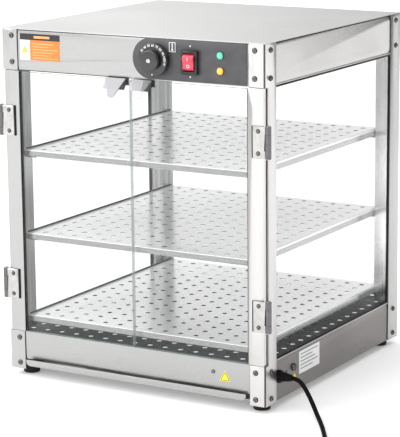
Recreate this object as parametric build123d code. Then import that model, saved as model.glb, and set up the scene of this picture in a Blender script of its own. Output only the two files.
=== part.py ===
"""Countertop heated display case: a glazed sheet-steel cabinet with three shelves.

Millimetres. +X is to the viewer's right, the doors face -Y and +Z is up. The sizes below
are measured from the middle of the cabinet on the surface that it stands on. The written
pieces have their origin in the middle of the overall depth, knob included.
"""
import os
from math import pi, tan

from build123d import *

# Overall size
width = 508.0
depth = 508.0
height = 610.0
post_rise = 12.0

# Corner posts: an angle outside, with a closed tube between base and header
post_face = 30.0
post_side = 38.0
post_wall = 2.0
tube_wall = 1.2

# Panels, deck and roof
sheet = 1.0
flange = 12.0
base_top = 80.5
base_front_bottom = 31.0
base_side_bottom = 13.0
base_side_top = 83.0
floor_level = 20.0
front_header_height = 71.0
side_header_height = 69.5
ceiling_drop = 67.0
header_front_bottom = height - front_header_height
header_side_bottom = height - side_header_height
ceiling_level = height - ceiling_drop

# Perforation
hole_pitch = 30.0
hole_margin = 15.0
deck_hole_diameter = 10.0
shelf_hole_diameter = 8.5

# Glass
side_glass = 4.0
door_glass = 5.0

# Shelves: where the top of each plate lies, and the folded lip around it
shelf_tops = {"shelf_upper": 400.0, "shelf_middle": 254.0, "shelf_lower": 108.0}
shelf_lip = 10.5
shelf_side_gap = 1.0
shelf_front_gap = 5.0
shelf_rear_gap = 3.0
pin_diameter = 5.0
pin_length = 14.0

# Doors
door_gap = 1.0
door_clearance = 1.0
door_bottom_gap = 0.5
stile_width = 29.0
stile_wall = 1.5
stile_side_gap = 3.0
glass_grip = 12.0

# Hinges
hinge_rise = 165.0
hinge_drop = 158.0
hinge_heights = (hinge_rise, height - hinge_drop)
hinge_height = 52.0
knuckle_height = 26.0
knuckle_gap = 0.4
barrel_diameter = 10.0
barrel_offset = 5.5
hinge_pin_diameter = 5.0
pin_clearance = 0.05
pin_head = 1.2
leaf_width = 20.0
leaf_thickness = 3.0
fixed_leaf = 2.0
fixed_leaf_width = 20.0
recess_clearance = 0.6
hinge_screw_spacing = 36.0
hinge_screw_head = 6.5
hinge_screw_shank = 3.0
hinge_screw_length = 6.0

# Door handles: a clip over the glass with a tongue that leans forward
handle_width = 40.0
handle_inset = 4.0
handle_wall = 1.5
handle_wedge_drop = 17.0
handle_wedge_reach = 13.0
tongue_drop = 30.0
tongue_thickness = 2.0
tongue_tip_width = 16.0
catch_width = 20.0
catch_depth = 9.0
catch_height = 14.0
catch_gap = 0.3

# Water tray
tray_lip_width = 438.0
tray_lip_height = 11.0
tray_lip_forward = 5.0
tray_lip_thickness = 1.5
tray_width = 424.0
tray_depth = 450.0
tray_wall = 0.8
tray_height = 8.0
tray_lift = 0.3
tray_guide_height = 6.0
tray_lip_corner = 8.0
guide_clearance = 0.5

# Control panel
panel_left = 7.0
panel_end_gap = 3.0
panel_right = width / 2 - post_face - panel_end_gap
panel_top_gap = 2.0
panel_height = 67.5
panel_top = height - panel_top_gap
panel_bottom = panel_top - panel_height
panel_thickness = 1.5
knob_x = 51.0
knob_drop = 34.5
knob_z = panel_top - knob_drop
skirt_diameter = 55.0
skirt_height = 11.0
skirt_gap = 0.5
grip_diameter = 41.0
grip_height = 15.0
grip_dish_diameter = 28.0
grip_dish_depth = 3.0
knob_cap_diameter = 9.0
knob_cap_height = 1.5
shaft_diameter = 6.0
shaft_clearance = 0.05
shaft_hole_diameter = 10.0
thermostat_size = 40.0
thermostat_depth = 28.0

switch_x = 117.0
switch_drop = 35.5
switch_z = panel_top - switch_drop
bezel_width = 30.0
bezel_height = 40.0
bezel_proud = 6.0
switch_width = 24.0
switch_height = 32.0
switch_depth = 26.0
switch_clearance = 0.2
rocker_width = 20.0
rocker_radius = 14.5
rocker_proud = 7.0
rocker_travel = 14.0
rocker_clearance = 0.4
rocker_pin_diameter = 3.0

lamp_x = 172.7
lamp_drops = {"indicator_green": 21.6, "indicator_orange": 46.4}
lamp_heights = {name: panel_top - drop for name, drop in lamp_drops.items()}
lamp_diameter = 12.0
lamp_proud = 4.0
lamp_body_diameter = 9.8
lamp_body_length = 16.0
lamp_clearance = 0.1

# Heating element under the deck
element_diameter = 8.0
element_level = 54.0
element_half_width = 175.0
element_half_depth = 150.0
element_bend = 30.0
hanger_width = 18.0
hanger_thickness = 1.5
hanger_clearance = 0.05
terminal_length = 40.0
terminal_height = 20.0
terminal_depth = 18.0
terminal_y = -150.0

# Cable gland on the right side of the base
gland_y = -204.5
gland_z = 53.0
gland_diameter = 22.0
gland_thread_diameter = 14.0
gland_nut_thickness = 5.0
relief_length = 20.0
relief_wide = 16.0
relief_narrow = 9.5
thread_clearance = 0.1

# Supply cord: hand-set points from the gland across the table to the coil
cord_diameter = 7.5
cord_route = [
    (276.0, -204.5, 53.0),
    (289.0, -204.5, 53.0),
    (303.0, -206.5, 38.0),
    (316.0, -211.0, 21.0),
    (330.0, -223.0, 8.0),
    (346.0, -243.0, 3.75),
    (369.0, -277.0, 3.75),
    (394.0, -318.0, 3.75),
    (420.0, -362.0, 3.75),
    (444.0, -403.0, 3.75),
]
coil_outer_radius = 47.0
coil_gap = 2.0
coil_turns_in = 3
coil_turns_out = 4
plug_relief_length = 32.0
plug_relief_wide = 11.5
plug_length = 34.0
plug_width = 22.0
plug_height = 26.0
blade_length = 16.0
blade_width = 6.3
blade_thickness = 1.5
blade_spacing = 12.7
earth_pin_diameter = 4.8
earth_pin_length = 19.0
earth_pin_rise = 7.0

# Feet and frame screws
foot_diameter = 29.0
foot_inset_x = 23.0
foot_inset_y = 29.0
foot_rounding = 3.0
screw_inset = 19.0
screw_rises = (23.0, 68.5)
screw_drops = (57.0, 12.0)
screw_heights = screw_rises + tuple(height - drop for drop in screw_drops)
screw_head = 9.5
screw_head_rise = 2.5
screw_shank = 4.0
screw_length = 6.0
screw_clearance = 0.05

# Labels and small fittings, all blank
label_thickness = 0.3
label_width = 80.7
label_height = 44.8
label_side_gap = 5.6
label_drop = 7.7
label_left = -width / 2 + post_face + label_side_gap
label_top = height - label_drop
front_label = (label_left, label_left + label_width, label_top - label_height, label_top)
rating_label = (-133.0, -58.0, 38.0, 77.0)
front_triangle = (176.6, 52.0)
front_triangle_side = 21.0
side_triangle = (-150.0, 39.0)
side_triangle_side = 14.0
small_screw_diameter = 7.0
small_screw_rise = 2.0
front_small_screw = (154.0, 60.0)
side_small_screw = (-177.0, 52.0)
cap_place = (-153.0, 56.0)
cap_diameter = 13.0
cap_rise = 4.0

# Planes worked out from the sizes above
side = width / 2
front = -depth / 2
back = depth / 2
panel_side = side - post_wall
panel_front = front + post_wall
panel_back = back - post_wall
inner_side = panel_side - sheet
inner_front = panel_front + sheet
inner_back = panel_back - sheet
roof_underside = height - sheet
tube_inner_x = side - post_face
tube_inner_y = depth / 2 - post_side
stile_depth = door_glass + 2 * stile_wall
recess_back = front + stile_depth + recess_clearance + fixed_leaf
door_top = header_front_bottom - door_clearance
door_bottom = base_top + door_bottom_gap
barrel_x = side + barrel_offset
cord_radius = cord_diameter / 2


def block(x0, x1, y0, y1, z0, z1):
    """A box between two corners."""
    centre = Pos((x0 + x1) / 2, (y0 + y1) / 2, (z0 + z1) / 2)
    return centre * Box(abs(x1 - x0), abs(y1 - y0), abs(z1 - z0))


def rod_x(x0, x1, y, z, radius):
    """A round rod along X."""
    return Pos((x0 + x1) / 2, y, z) * Rot(0, 90, 0) * Cylinder(radius, abs(x1 - x0))


def rod_y(x, y0, y1, z, radius):
    """A round rod along Y."""
    return Pos(x, (y0 + y1) / 2, z) * Rot(90, 0, 0) * Cylinder(radius, abs(y1 - y0))


def rod_z(x, y, z0, z1, radius):
    """A round rod along Z."""
    return Pos(x, y, (z0 + z1) / 2) * Cylinder(radius, z1 - z0)


def joined(solids):
    """One part from several touching or separate solids."""
    total = Part()
    for solid in solids:
        total += solid
    return total


def mirrored(part):
    """The same piece on the other side of the case."""
    return mirror(part, about=Plane.YZ)


def overall_middle_y():
    """Middle of the depth from the knob's front to the rear screw heads."""
    _, _, grip_front = knob_planes()
    return (grip_front + back + screw_head_rise) / 2


def welded(parts):
    """Pieces that lie against each other and stay separate solids of one node."""
    return Compound([solid for part in parts for solid in part.solids()])


def save(name, part):
    """Write one node's STEP file, in the frame of the whole case."""
    placed = Pos(0, -overall_middle_y(), 0) * part
    placed.label = name
    export_step(placed, os.path.join("parts", name + ".step"))


def count_holes(length):
    """How many holes at the pitch fit a plate's length."""
    return int((length - 2 * hole_margin) // hole_pitch) + 1


def perforated(x_size, y_size, diameter):
    """A flat plate with a square grid of round holes, its underside at z = 0."""
    grid = GridLocations(hole_pitch, hole_pitch, count_holes(x_size), count_holes(y_size))
    outline = Rectangle(x_size, y_size) - [place * Circle(diameter / 2) for place in grid]
    return extrude(outline, sheet)


def screw_axes():
    """Each frame screw's seat on the post and the direction in which it goes in."""
    axes = []
    for level in screw_heights:
        for x_sign in (-1, 1):
            for y_sign in (-1, 1):
                axes.append(((x_sign * (side - screw_inset), y_sign * back, level), (0, -y_sign, 0)))
                axes.append(((x_sign * side, y_sign * (back - screw_inset), level), (-x_sign, 0, 0)))
    return axes


def screw_shanks(radius, length):
    """Plain shanks at every frame screw, used for the screws and for their holes."""
    shanks = []
    for seat, inward in screw_axes():
        middle = Vector(*seat) + Vector(*inward) * (length / 2)
        plane = Plane(origin=middle, z_dir=inward)
        shanks.append(plane * Cylinder(radius, length))
    return shanks


def drilled(part):
    """The part with clearance holes for the frame screws."""
    return part - screw_shanks(screw_shank / 2 + screw_clearance, screw_length)


def pan_head(seat, outward, diameter, rise):
    """A domed screw head that stands on its seat."""
    head = Cylinder(diameter / 2, rise, align=(Align.CENTER, Align.CENTER, Align.MIN))
    head = fillet(head.faces().sort_by(Axis.Z)[-1].edges(), rise * 0.6)
    return Plane(origin=Vector(*seat), z_dir=outward) * head


def post(is_front):
    """The right post of one pair: angle, tube and, at the front, the doors' recess."""
    y_out = front if is_front else back
    y_in = -tube_inner_y if is_front else tube_inner_y
    toward = 1 if is_front else -1
    angle = block(side - post_wall, side, y_out, y_in, post_rise, roof_underside)
    angle += block(tube_inner_x, side, y_out, y_out + toward * post_wall, post_rise, roof_underside)
    low, high = base_side_top, header_front_bottom
    tube = block(tube_inner_x, side, y_out, y_in, low, high)
    hollow = block(
        tube_inner_x + tube_wall,
        side - post_wall,
        y_out + toward * post_wall,
        y_in - toward * tube_wall,
        low,
        high,
    )
    body = angle + (tube - hollow)
    if is_front:
        body -= block(tube_inner_x, side, front, recess_back, base_top, high)
        recess_wall_back = recess_back + tube_wall
        body += block(tube_inner_x, side, recess_back, recess_wall_back, low, high)
    return drilled(body)


def roof_panel():
    """The flat top sheet."""
    return block(-side, side, front, back, roof_underside, height)


def ceiling_panel():
    """The sheet between the cabinet and the header's wiring space."""
    bottom, top = ceiling_level, ceiling_level + sheet
    return block(-inner_side, inner_side, inner_front, inner_back, bottom, top)


def control_cuts():
    """Holes through the header front and the control panel."""
    y0, y1 = panel_front - panel_thickness - 1, inner_front + 1
    cuts = [rod_y(knob_x, y0, y1, knob_z, shaft_hole_diameter / 2)]
    half_x = switch_width / 2 + switch_clearance
    half_z = switch_height / 2 + switch_clearance
    cuts.append(block(
        switch_x - half_x, switch_x + half_x, y0, y1, switch_z - half_z, switch_z + half_z
    ))
    for level in lamp_heights.values():
        cuts.append(rod_y(lamp_x, y0, y1, level, lamp_body_diameter / 2 + lamp_clearance))
    return cuts


def header_front():
    """Front of the header, folded in along its bottom edge."""
    body = block(
        -inner_side, inner_side, panel_front, inner_front, header_front_bottom, roof_underside
    )
    fold_x = tube_inner_x - shelf_side_gap
    fold_top = header_front_bottom + sheet
    body += block(
        -fold_x, fold_x, inner_front, inner_front + flange, header_front_bottom, fold_top
    )
    return drilled(body) - control_cuts()


def header_side():
    """Right side of the header."""
    return drilled(block(
        inner_side, panel_side, panel_front, panel_back, header_side_bottom, roof_underside
    ))


def header_rear():
    """Rear of the header."""
    return drilled(block(
        -inner_side, inner_side, inner_back, panel_back, header_side_bottom, roof_underside
    ))


def base_front():
    """Front of the base, folded in under the deck and open below for the tray."""
    body = block(-inner_side, inner_side, panel_front, inner_front, base_front_bottom, base_top)
    fold_x = tube_inner_x - shelf_side_gap
    fold_top = base_top - sheet
    body += block(
        -fold_x, fold_x, inner_front, inner_front + flange, fold_top - sheet, fold_top
    )
    seat_x, seat_z = front_small_screw
    hole = rod_y(seat_x, panel_front, inner_front, seat_z, screw_shank / 2 + screw_clearance)
    return drilled(body) - hole


def base_side(with_gland):
    """Right side of the base, folded in under the deck."""
    body = block(
        inner_side, panel_side, panel_front, panel_back, base_side_bottom, base_side_top
    )
    fold_y = tube_inner_y - shelf_side_gap
    fold_top = base_top - sheet
    body += block(
        inner_side - flange, inner_side, -fold_y, fold_y, fold_top - sheet, fold_top
    )
    body = drilled(body)
    if with_gland:
        gland_hole = gland_thread_diameter / 2 + thread_clearance
        body -= rod_x(inner_side, panel_side, gland_y, gland_z, gland_hole)
        seat_y, seat_z = side_small_screw
        shank_hole = screw_shank / 2 + screw_clearance
        body -= rod_x(inner_side, panel_side, seat_y, seat_z, shank_hole)
    return body


def base_rear():
    """Rear of the base."""
    return drilled(block(
        -inner_side, inner_side, inner_back, panel_back, base_side_bottom, base_side_top
    ))


def base_floor():
    """Bottom sheet, with two upstands that guide the tray."""
    top = floor_level + sheet
    plate = block(-inner_side, inner_side, inner_front, inner_back, floor_level, top)
    guide_x = tray_width / 2 + guide_clearance
    guides = [
        block(
            x_sign * guide_x,
            x_sign * (guide_x + sheet),
            inner_front,
            inner_front + tray_depth,
            top,
            top + tray_guide_height,
        )
        for x_sign in (-1, 1)
    ]
    return welded([plate, *guides])


def deck_plate():
    """Perforated floor of the heated space."""
    plate = perforated(2 * inner_side, 2 * inner_back, deck_hole_diameter)
    return Pos(0, 0, base_top - sheet) * plate


def glass_side():
    """Right pane, between the front and rear tubes."""
    outer = inner_side
    return block(
        outer - side_glass, outer, -tube_inner_y, tube_inner_y, base_top, ceiling_level
    )


def glass_rear():
    """Rear pane, between the two rear tubes."""
    return block(
        -tube_inner_x, tube_inner_x, inner_back - side_glass, inner_back, base_top, ceiling_level
    )


def shelf_box():
    """Front, back and half width of every shelf."""
    shelf_front = front + stile_depth + shelf_front_gap
    shelf_back = inner_back - side_glass - shelf_rear_gap
    return shelf_front, shelf_back, tube_inner_x - shelf_side_gap


def shelf(top):
    """Perforated tray shelf with a lip folded down on all four sides."""
    shelf_front, shelf_back, half = shelf_box()
    plate = perforated(2 * half, shelf_back - shelf_front, shelf_hole_diameter)
    plate = Pos(0, (shelf_front + shelf_back) / 2, top - sheet) * plate
    bottom = top - shelf_lip
    lip = block(-half, half, shelf_front, shelf_back, bottom, top - sheet)
    lip -= block(
        -half + sheet, half - sheet, shelf_front + sheet, shelf_back - sheet, bottom, top - sheet
    )
    return plate + lip


def shelf_pins():
    """Four studs on the posts under each shelf."""
    middle_y = tube_inner_y + post_side / 4
    pins = []
    for top in shelf_tops.values():
        level = top - shelf_lip - pin_diameter / 2
        for x_sign in (-1, 1):
            for y_sign in (-1, 1):
                x0 = x_sign * tube_inner_x
                x1 = x_sign * (tube_inner_x - pin_length)
                pins.append(rod_x(x0, x1, y_sign * middle_y, level, pin_diameter / 2))
    return joined(pins)


def hinge_screw_seats():
    """The right door's hinge screws: seats on the face of each leaf."""
    leaf_middle = side - 1.5 - leaf_width / 2
    seats = []
    for level in hinge_heights:
        for z_sign in (-1, 1):
            z = level + z_sign * hinge_screw_spacing / 2
            seats.append((leaf_middle, front - leaf_thickness, z))
    return seats


def hinge_screw_holes():
    """Clearance holes for the hinge screws."""
    radius = hinge_screw_shank / 2 + screw_clearance
    return [
        rod_y(x, y, y + hinge_screw_length, z, radius) for x, y, z in hinge_screw_seats()
    ]


def door_stile():
    """Right door's outer channel, which grips the glass."""
    outer = side - stile_side_gap
    inner = outer - stile_width
    body = block(inner, outer, front, front + stile_depth, door_bottom, door_top)
    body -= block(
        inner,
        outer - stile_wall,
        front + stile_wall,
        front + stile_wall + door_glass,
        door_bottom,
        door_top,
    )
    return body - hinge_screw_holes()


def door_pane():
    """Right door's glass."""
    inner = side - stile_side_gap - stile_width
    y0 = front + stile_wall
    return block(
        door_gap, inner + glass_grip, y0, y0 + door_glass, door_bottom, door_top - handle_wall
    )


def handle_faces():
    """Front and back of the door glass, and the handle's two ends."""
    glass_front = front + stile_wall
    start = door_gap + handle_inset
    return glass_front, glass_front + door_glass, start, start + handle_width


def door_clip():
    """Right door's clip over the top of the glass, with a wedge in front."""
    glass_front, glass_back, x0, x1 = handle_faces()
    top = door_top
    low = top - handle_wedge_drop
    profile = Polyline(
        (glass_back, top - handle_wall),
        (glass_back, low + 5),
        (glass_back + handle_wall, low + 5),
        (glass_back + handle_wall, top),
        (glass_front - 2 * handle_wall, top),
        (glass_front - handle_wedge_reach, low),
        (glass_front - handle_wedge_reach + 4, low),
        (glass_front, top - 2 * handle_wall),
        (glass_front, top - handle_wall),
        close=True,
    )
    section = Plane(origin=(x0, 0, 0), x_dir=(0, 1, 0), z_dir=(1, 0, 0)) * make_face(profile)
    return extrude(section, x1 - x0)


def door_tongue():
    """Right door's finger tongue, which lies on the wedge and leans forward."""
    glass_front, _, x0, x1 = handle_faces()
    root_y = glass_front - 2 * handle_wall
    tip_y = glass_front - handle_wedge_reach
    run = Vector(0, tip_y - root_y, -handle_wedge_drop).normalized()
    length = tongue_drop / -run.Z
    out = Vector(0, run.Z, -run.Y).normalized()
    plane = Plane(origin=((x0 + x1) / 2, root_y, door_top), x_dir=(1, 0, 0), z_dir=out)
    down = 1 if plane.y_dir.dot(run) > 0 else -1
    tip = tongue_tip_width / 2
    half = handle_width / 2
    straight = length - tip
    outline = make_face([
        Line((-half, 0), (half, 0)),
        Line((half, 0), (tip, down * straight)),
        ThreePointArc((tip, down * straight), (0, down * length), (-tip, down * straight)),
        Line((-tip, down * straight), (-half, 0)),
    ])
    return extrude(plane * outline, tongue_thickness)


def ring_z(level_0, level_1, inner_radius):
    """A hinge knuckle between two heights."""
    outer = rod_z(barrel_x, front, level_0, level_1, barrel_diameter / 2)
    return outer - rod_z(barrel_x, front, level_0, level_1, inner_radius)


def door_leaves():
    """Right door's hinge leaves, each with an upper and a lower knuckle."""
    bore = hinge_pin_diameter / 2 + pin_clearance
    leaves = []
    for level in hinge_heights:
        low, high = level - hinge_height / 2, level + hinge_height / 2
        inner_x = side - 1.5 - leaf_width
        plate = block(inner_x, barrel_x, front - leaf_thickness, front, low, high)
        gap = knuckle_height / 2 + knuckle_gap
        plate -= block(
            side, barrel_x, front - leaf_thickness, front, level - gap, level + gap
        )
        plate -= rod_z(barrel_x, front, low, high, bore)
        body = plate + ring_z(low, level - gap, bore) + ring_z(level + gap, high, bore)
        leaves.append(body)
    return joined(leaves) - hinge_screw_holes()


def fixed_leaves():
    """Right post's hinge leaves, tucked behind the closed door's stile."""
    bore = hinge_pin_diameter / 2 + pin_clearance
    leaves = []
    for level in hinge_heights:
        low, high = level - knuckle_height / 2, level + knuckle_height / 2
        knuckle = ring_z(low, high, bore)
        link = block(side - fixed_leaf, barrel_x, front + 2, front + 4, low, high)
        link += block(side - fixed_leaf, side, front + 2, recess_back, low, high)
        link += block(
            side - fixed_leaf_width, side, recess_back - fixed_leaf, recess_back, low, high
        )
        link -= rod_z(barrel_x, front, low, high, bore)
        leaves.append(knuckle + link)
    return joined(leaves)


def hinge_pins():
    """A headed pin through each hinge."""
    pins = []
    for x_sign in (-1, 1):
        for level in hinge_heights:
            low, high = level - hinge_height / 2, level + hinge_height / 2
            pin = rod_z(x_sign * barrel_x, front, low, high, hinge_pin_diameter / 2)
            cap_radius = barrel_diameter / 2 - 1
            pin += rod_z(x_sign * barrel_x, front, high, high + pin_head, cap_radius)
            pin += rod_z(x_sign * barrel_x, front, low - pin_head, low, cap_radius)
            pins.append(pin)
    return joined(pins)


def hinge_screws():
    """Right door's hinge screws."""
    screws = []
    for x, y, z in hinge_screw_seats():
        head = pan_head((x, y, z), (0, -1, 0), hinge_screw_head, screw_head_rise * 0.7)
        screws.append(head + rod_y(x, y, y + hinge_screw_length, z, hinge_screw_shank / 2))
    return joined(screws)


def door_catches():
    """Magnet blocks under the header that hold the doors shut."""
    _, glass_back, x0, x1 = handle_faces()
    y0 = glass_back + handle_wall + catch_gap
    middle = (x0 + x1) / 2
    top = header_front_bottom
    body = block(
        middle - catch_width / 2,
        middle + catch_width / 2,
        y0,
        y0 + catch_depth,
        top - catch_height,
        top,
    )
    return body + mirrored(body)


def water_tray():
    """Shallow pull-out tray with a front lip and rounded lower corners."""
    bottom = floor_level + sheet + tray_lift
    y0 = front - tray_lip_forward + tray_lip_thickness
    y1 = y0 + tray_depth
    half = tray_width / 2
    inside = half - tray_wall
    rim = bottom + tray_height
    inner_bottom = bottom + tray_wall
    pan = [
        block(-half, half, y0, y1, bottom, inner_bottom),
        block(-half, -inside, y0, y1, inner_bottom, rim),
        block(inside, half, y0, y1, inner_bottom, rim),
        block(-inside, inside, y0, y0 + tray_wall, inner_bottom, rim),
        block(-inside, inside, y1 - tray_wall, y1, inner_bottom, rim),
    ]
    lip_y = front - tray_lip_forward
    lip = block(
        -tray_lip_width / 2,
        tray_lip_width / 2,
        lip_y,
        lip_y + tray_lip_thickness,
        floor_level,
        floor_level + tray_lip_height,
    )
    low_edges = lip.edges().filter_by(Axis.Y).sort_by(Axis.Z)[:2]
    return welded([*pan, fillet(low_edges, tray_lip_corner)])


def control_panel():
    """Dark panel with one rounded end, laid on the header front."""
    radius = (panel_top - panel_bottom) / 2
    middle = (panel_top + panel_bottom) / 2
    y0 = panel_front - panel_thickness
    body = block(panel_left + radius, panel_right, y0, panel_front, panel_bottom, panel_top)
    body += rod_y(panel_left + radius, y0, panel_front, middle, radius)
    return body - control_cuts()


def knob_planes():
    """Where the knob's skirt starts and ends and where its grip ends."""
    skirt_back = panel_front - panel_thickness - skirt_gap
    skirt_front = skirt_back - skirt_height
    return skirt_back, skirt_front, skirt_front - grip_height


def knob_skirt():
    """The knob's round scale."""
    skirt_back, skirt_front, _ = knob_planes()
    body = rod_y(knob_x, skirt_front, skirt_back, knob_z, skirt_diameter / 2)
    body = chamfer(body.faces().sort_by(Axis.Y)[0].edges(), skirt_height * 0.4)
    return body - rod_y(knob_x, skirt_front, skirt_back, knob_z, shaft_diameter / 2)


def knob_grip():
    """The knob's dished grip, with its shaft."""
    skirt_back, skirt_front, grip_front = knob_planes()
    body = rod_y(knob_x, grip_front, skirt_front, knob_z, grip_diameter / 2)
    body = fillet(body.faces().sort_by(Axis.Y)[0].edges(), 3)
    dish = Pos(knob_x, grip_front, knob_z) * Rot(90, 0, 0) * Cone(
        grip_dish_diameter / 2,
        grip_dish_diameter / 4,
        grip_dish_depth,
        align=(Align.CENTER, Align.CENTER, Align.MIN),
    )
    body -= mirror(dish, about=Plane.XZ.offset(-grip_front))
    dish_floor = grip_front + grip_dish_depth
    body += rod_y(
        knob_x, dish_floor - knob_cap_height, dish_floor, knob_z, knob_cap_diameter / 2
    )
    shaft_end = inner_front + thermostat_depth / 2
    return body + rod_y(knob_x, skirt_front, shaft_end, knob_z, shaft_diameter / 2)


def thermostat_body():
    """The thermostat behind the header front."""
    half = thermostat_size / 2
    body = block(
        knob_x - half,
        knob_x + half,
        inner_front,
        inner_front + thermostat_depth,
        knob_z - half,
        knob_z + half,
    )
    bore = shaft_diameter / 2 + shaft_clearance
    shaft_end = inner_front + thermostat_depth / 2 + 1
    return body - rod_y(knob_x, inner_front, shaft_end, knob_z, bore)


def rocker_pivot_y():
    """Depth of the rocker's pivot."""
    return panel_front - panel_thickness - bezel_proud + rocker_radius - rocker_proud


def switch_housing():
    """The switch's collar, and its body through the panel."""
    seat = panel_front - panel_thickness
    collar_front = seat - bezel_proud
    body = block(
        switch_x - bezel_width / 2,
        switch_x + bezel_width / 2,
        collar_front,
        seat,
        switch_z - bezel_height / 2,
        switch_z + bezel_height / 2,
    )
    body = fillet(body.edges().filter_by(Axis.Y), 2)
    body += block(
        switch_x - switch_width / 2,
        switch_x + switch_width / 2,
        seat,
        seat + switch_depth,
        switch_z - switch_height / 2,
        switch_z + switch_height / 2,
    )
    half_x = rocker_width / 2 + rocker_clearance
    reach = rocker_radius + rocker_clearance
    pivot = rocker_pivot_y()
    body -= rod_x(switch_x - half_x, switch_x + half_x, pivot, switch_z, reach)
    body -= block(
        switch_x - half_x,
        switch_x + half_x,
        collar_front,
        pivot,
        switch_z - reach,
        switch_z + reach,
    )
    pin_x = switch_width / 2
    pin_hole = rocker_pin_diameter / 2 + pin_clearance
    return body - rod_x(switch_x - pin_x, switch_x + pin_x, pivot, switch_z, pin_hole)


def switch_rocker():
    """The red rocker: a round back with two flat faces, and its pivot pin."""
    pivot = rocker_pivot_y()
    x0, x1 = switch_x - rocker_width / 2, switch_x + rocker_width / 2
    body = rod_x(x0, x1, pivot, switch_z, rocker_radius)
    body &= block(
        x0,
        x1,
        pivot - rocker_radius,
        pivot + rocker_radius / 2,
        switch_z - rocker_radius,
        switch_z + rocker_radius,
    )
    valley = pivot - rocker_radius * 0.72
    for z_sign in (-1, 1):
        tilt = rocker_travel / 2
        cutter = Pos(switch_x, 0, 0) * Box(
            rocker_width + 2,
            rocker_radius,
            2 * rocker_radius,
            align=(Align.CENTER, Align.MAX, Align.MIN),
        )
        cutter = Pos(0, valley, switch_z) * Rot(tilt, 0, 0) * cutter
        body -= cutter if z_sign > 0 else mirror(cutter, about=Plane.XY.offset(switch_z))
    pin_x = switch_width / 2
    body += rod_x(switch_x - pin_x, switch_x + pin_x, pivot, switch_z, rocker_pin_diameter / 2)
    return Pos(0, pivot, switch_z) * Rot(rocker_travel / 2, 0, 0) * Pos(0, -pivot, -switch_z) * body


def indicator(level):
    """A domed lens with its body through the panel."""
    seat = panel_front - panel_thickness
    lens = rod_y(lamp_x, seat - lamp_proud, seat, level, lamp_diameter / 2)
    lens = fillet(lens.faces().sort_by(Axis.Y)[0].edges(), lamp_proud * 0.7)
    return lens + rod_y(lamp_x, seat, seat + lamp_body_length, level, lamp_body_diameter / 2)


def heating_element():
    """U-shaped sheathed heater under the deck."""
    x, y, z = element_half_width, element_half_depth, element_level
    path = FilletPolyline((x, -y, z), (-x, -y, z), (-x, y, z), (x, y, z), radius=element_bend)
    section = Plane(origin=path @ 0, z_dir=path % 0) * Circle(element_diameter / 2)
    return sweep(section, path=path)


def element_hangers():
    """Straps that hang the heater from the deck."""
    straps = []
    bore = element_diameter / 2 + hanger_clearance
    for x_sign in (-1, 1):
        for y_sign in (-1, 1):
            x, y = x_sign * element_half_width / 2, y_sign * element_half_depth
            strap = block(
                x - hanger_thickness / 2,
                x + hanger_thickness / 2,
                y - hanger_width / 2,
                y + hanger_width / 2,
                element_level - element_diameter,
                base_top - sheet,
            )
            strap -= rod_x(x - hanger_thickness, x + hanger_thickness, y, element_level, bore)
            straps.append(strap)
    return joined(straps)


def terminal_block():
    """The supply's terminal block, inside the base by the gland."""
    return block(
        inner_side - terminal_depth,
        inner_side,
        terminal_y - terminal_length / 2,
        terminal_y + terminal_length / 2,
        gland_z - terminal_height,
        gland_z,
    )


def cable_gland():
    """Strain relief: nut inside, collar outside, and a tapered sleeve."""
    sleeve_end = cord_route[0][0]
    sleeve_start = sleeve_end - relief_length
    nut_inner = inner_side - gland_nut_thickness
    body = rod_x(nut_inner, inner_side, gland_y, gland_z, gland_diameter / 2)
    body += rod_x(inner_side, panel_side, gland_y, gland_z, gland_thread_diameter / 2)
    body += rod_x(panel_side, sleeve_start, gland_y, gland_z, gland_diameter / 2)
    sleeve = Pos(sleeve_start, gland_y, gland_z) * Rot(0, 90, 0) * Cone(
        relief_wide / 2,
        relief_narrow / 2,
        relief_length,
        align=(Align.CENTER, Align.CENTER, Align.MIN),
    )
    return body + sleeve


def cord_radii(points):
    """The largest bend that each corner's two runs allow."""
    radii = []
    for before, corner, after in zip(points, points[1:], points[2:]):
        arriving = Vector(*corner) - Vector(*before)
        leaving = Vector(*after) - Vector(*corner)
        shorter = min(arriving.length, leaving.length)
        half_turn = arriving.get_angle(leaving) * pi / 360
        radii.append(0.45 * shorter / tan(half_turn))
    return radii


def report_tube(name, tube, path):
    """Print how a tube's volume compares with its section times its length."""
    expected = pi * cord_radius ** 2 * path.length
    print(f"{name}: length {path.length:.1f} mm, volume ratio {tube.volume / expected:.5f}")


def tube_along(path):
    """A round cord along a path."""
    section = Plane(origin=path @ 0, z_dir=path % 0) * Circle(cord_radius)
    return sweep(section, path=path)


def power_cord():
    """The free stretch from the gland to the coil."""
    radii = cord_radii(cord_route)
    print("cord bends, mm:", [round(radius, 1) for radius in radii])
    path = FilletPolyline(*cord_route, radius=radii)
    tube = tube_along(path)
    report_tube("power_cord", tube, path)
    return tube


def cord_heading():
    """Unit vector along the cord's last run, and the one to its left."""
    ahead = (Vector(*cord_route[-1]) - Vector(*cord_route[-2])).normalized()
    return ahead, Vector(-ahead.Y, ahead.X, 0)


def biarc(start, start_dir, end, end_dir):
    """Two arcs that join two points and directions smoothly."""
    span = end - start
    lean = start_dir + end_dir
    a = 2 * (start_dir.dot(end_dir) - 1)
    b = -2 * span.dot(lean)
    c = span.dot(span)
    reach = (-b - (b * b - 4 * a * c) ** 0.5) / (2 * a)
    near, far = start + start_dir * reach, end - end_dir * reach
    middle = (near + far) / 2
    return [
        TangentArc(start, middle, tangent=start_dir),
        TangentArc(middle, end, tangent=(far - near).normalized()),
    ]


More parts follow.
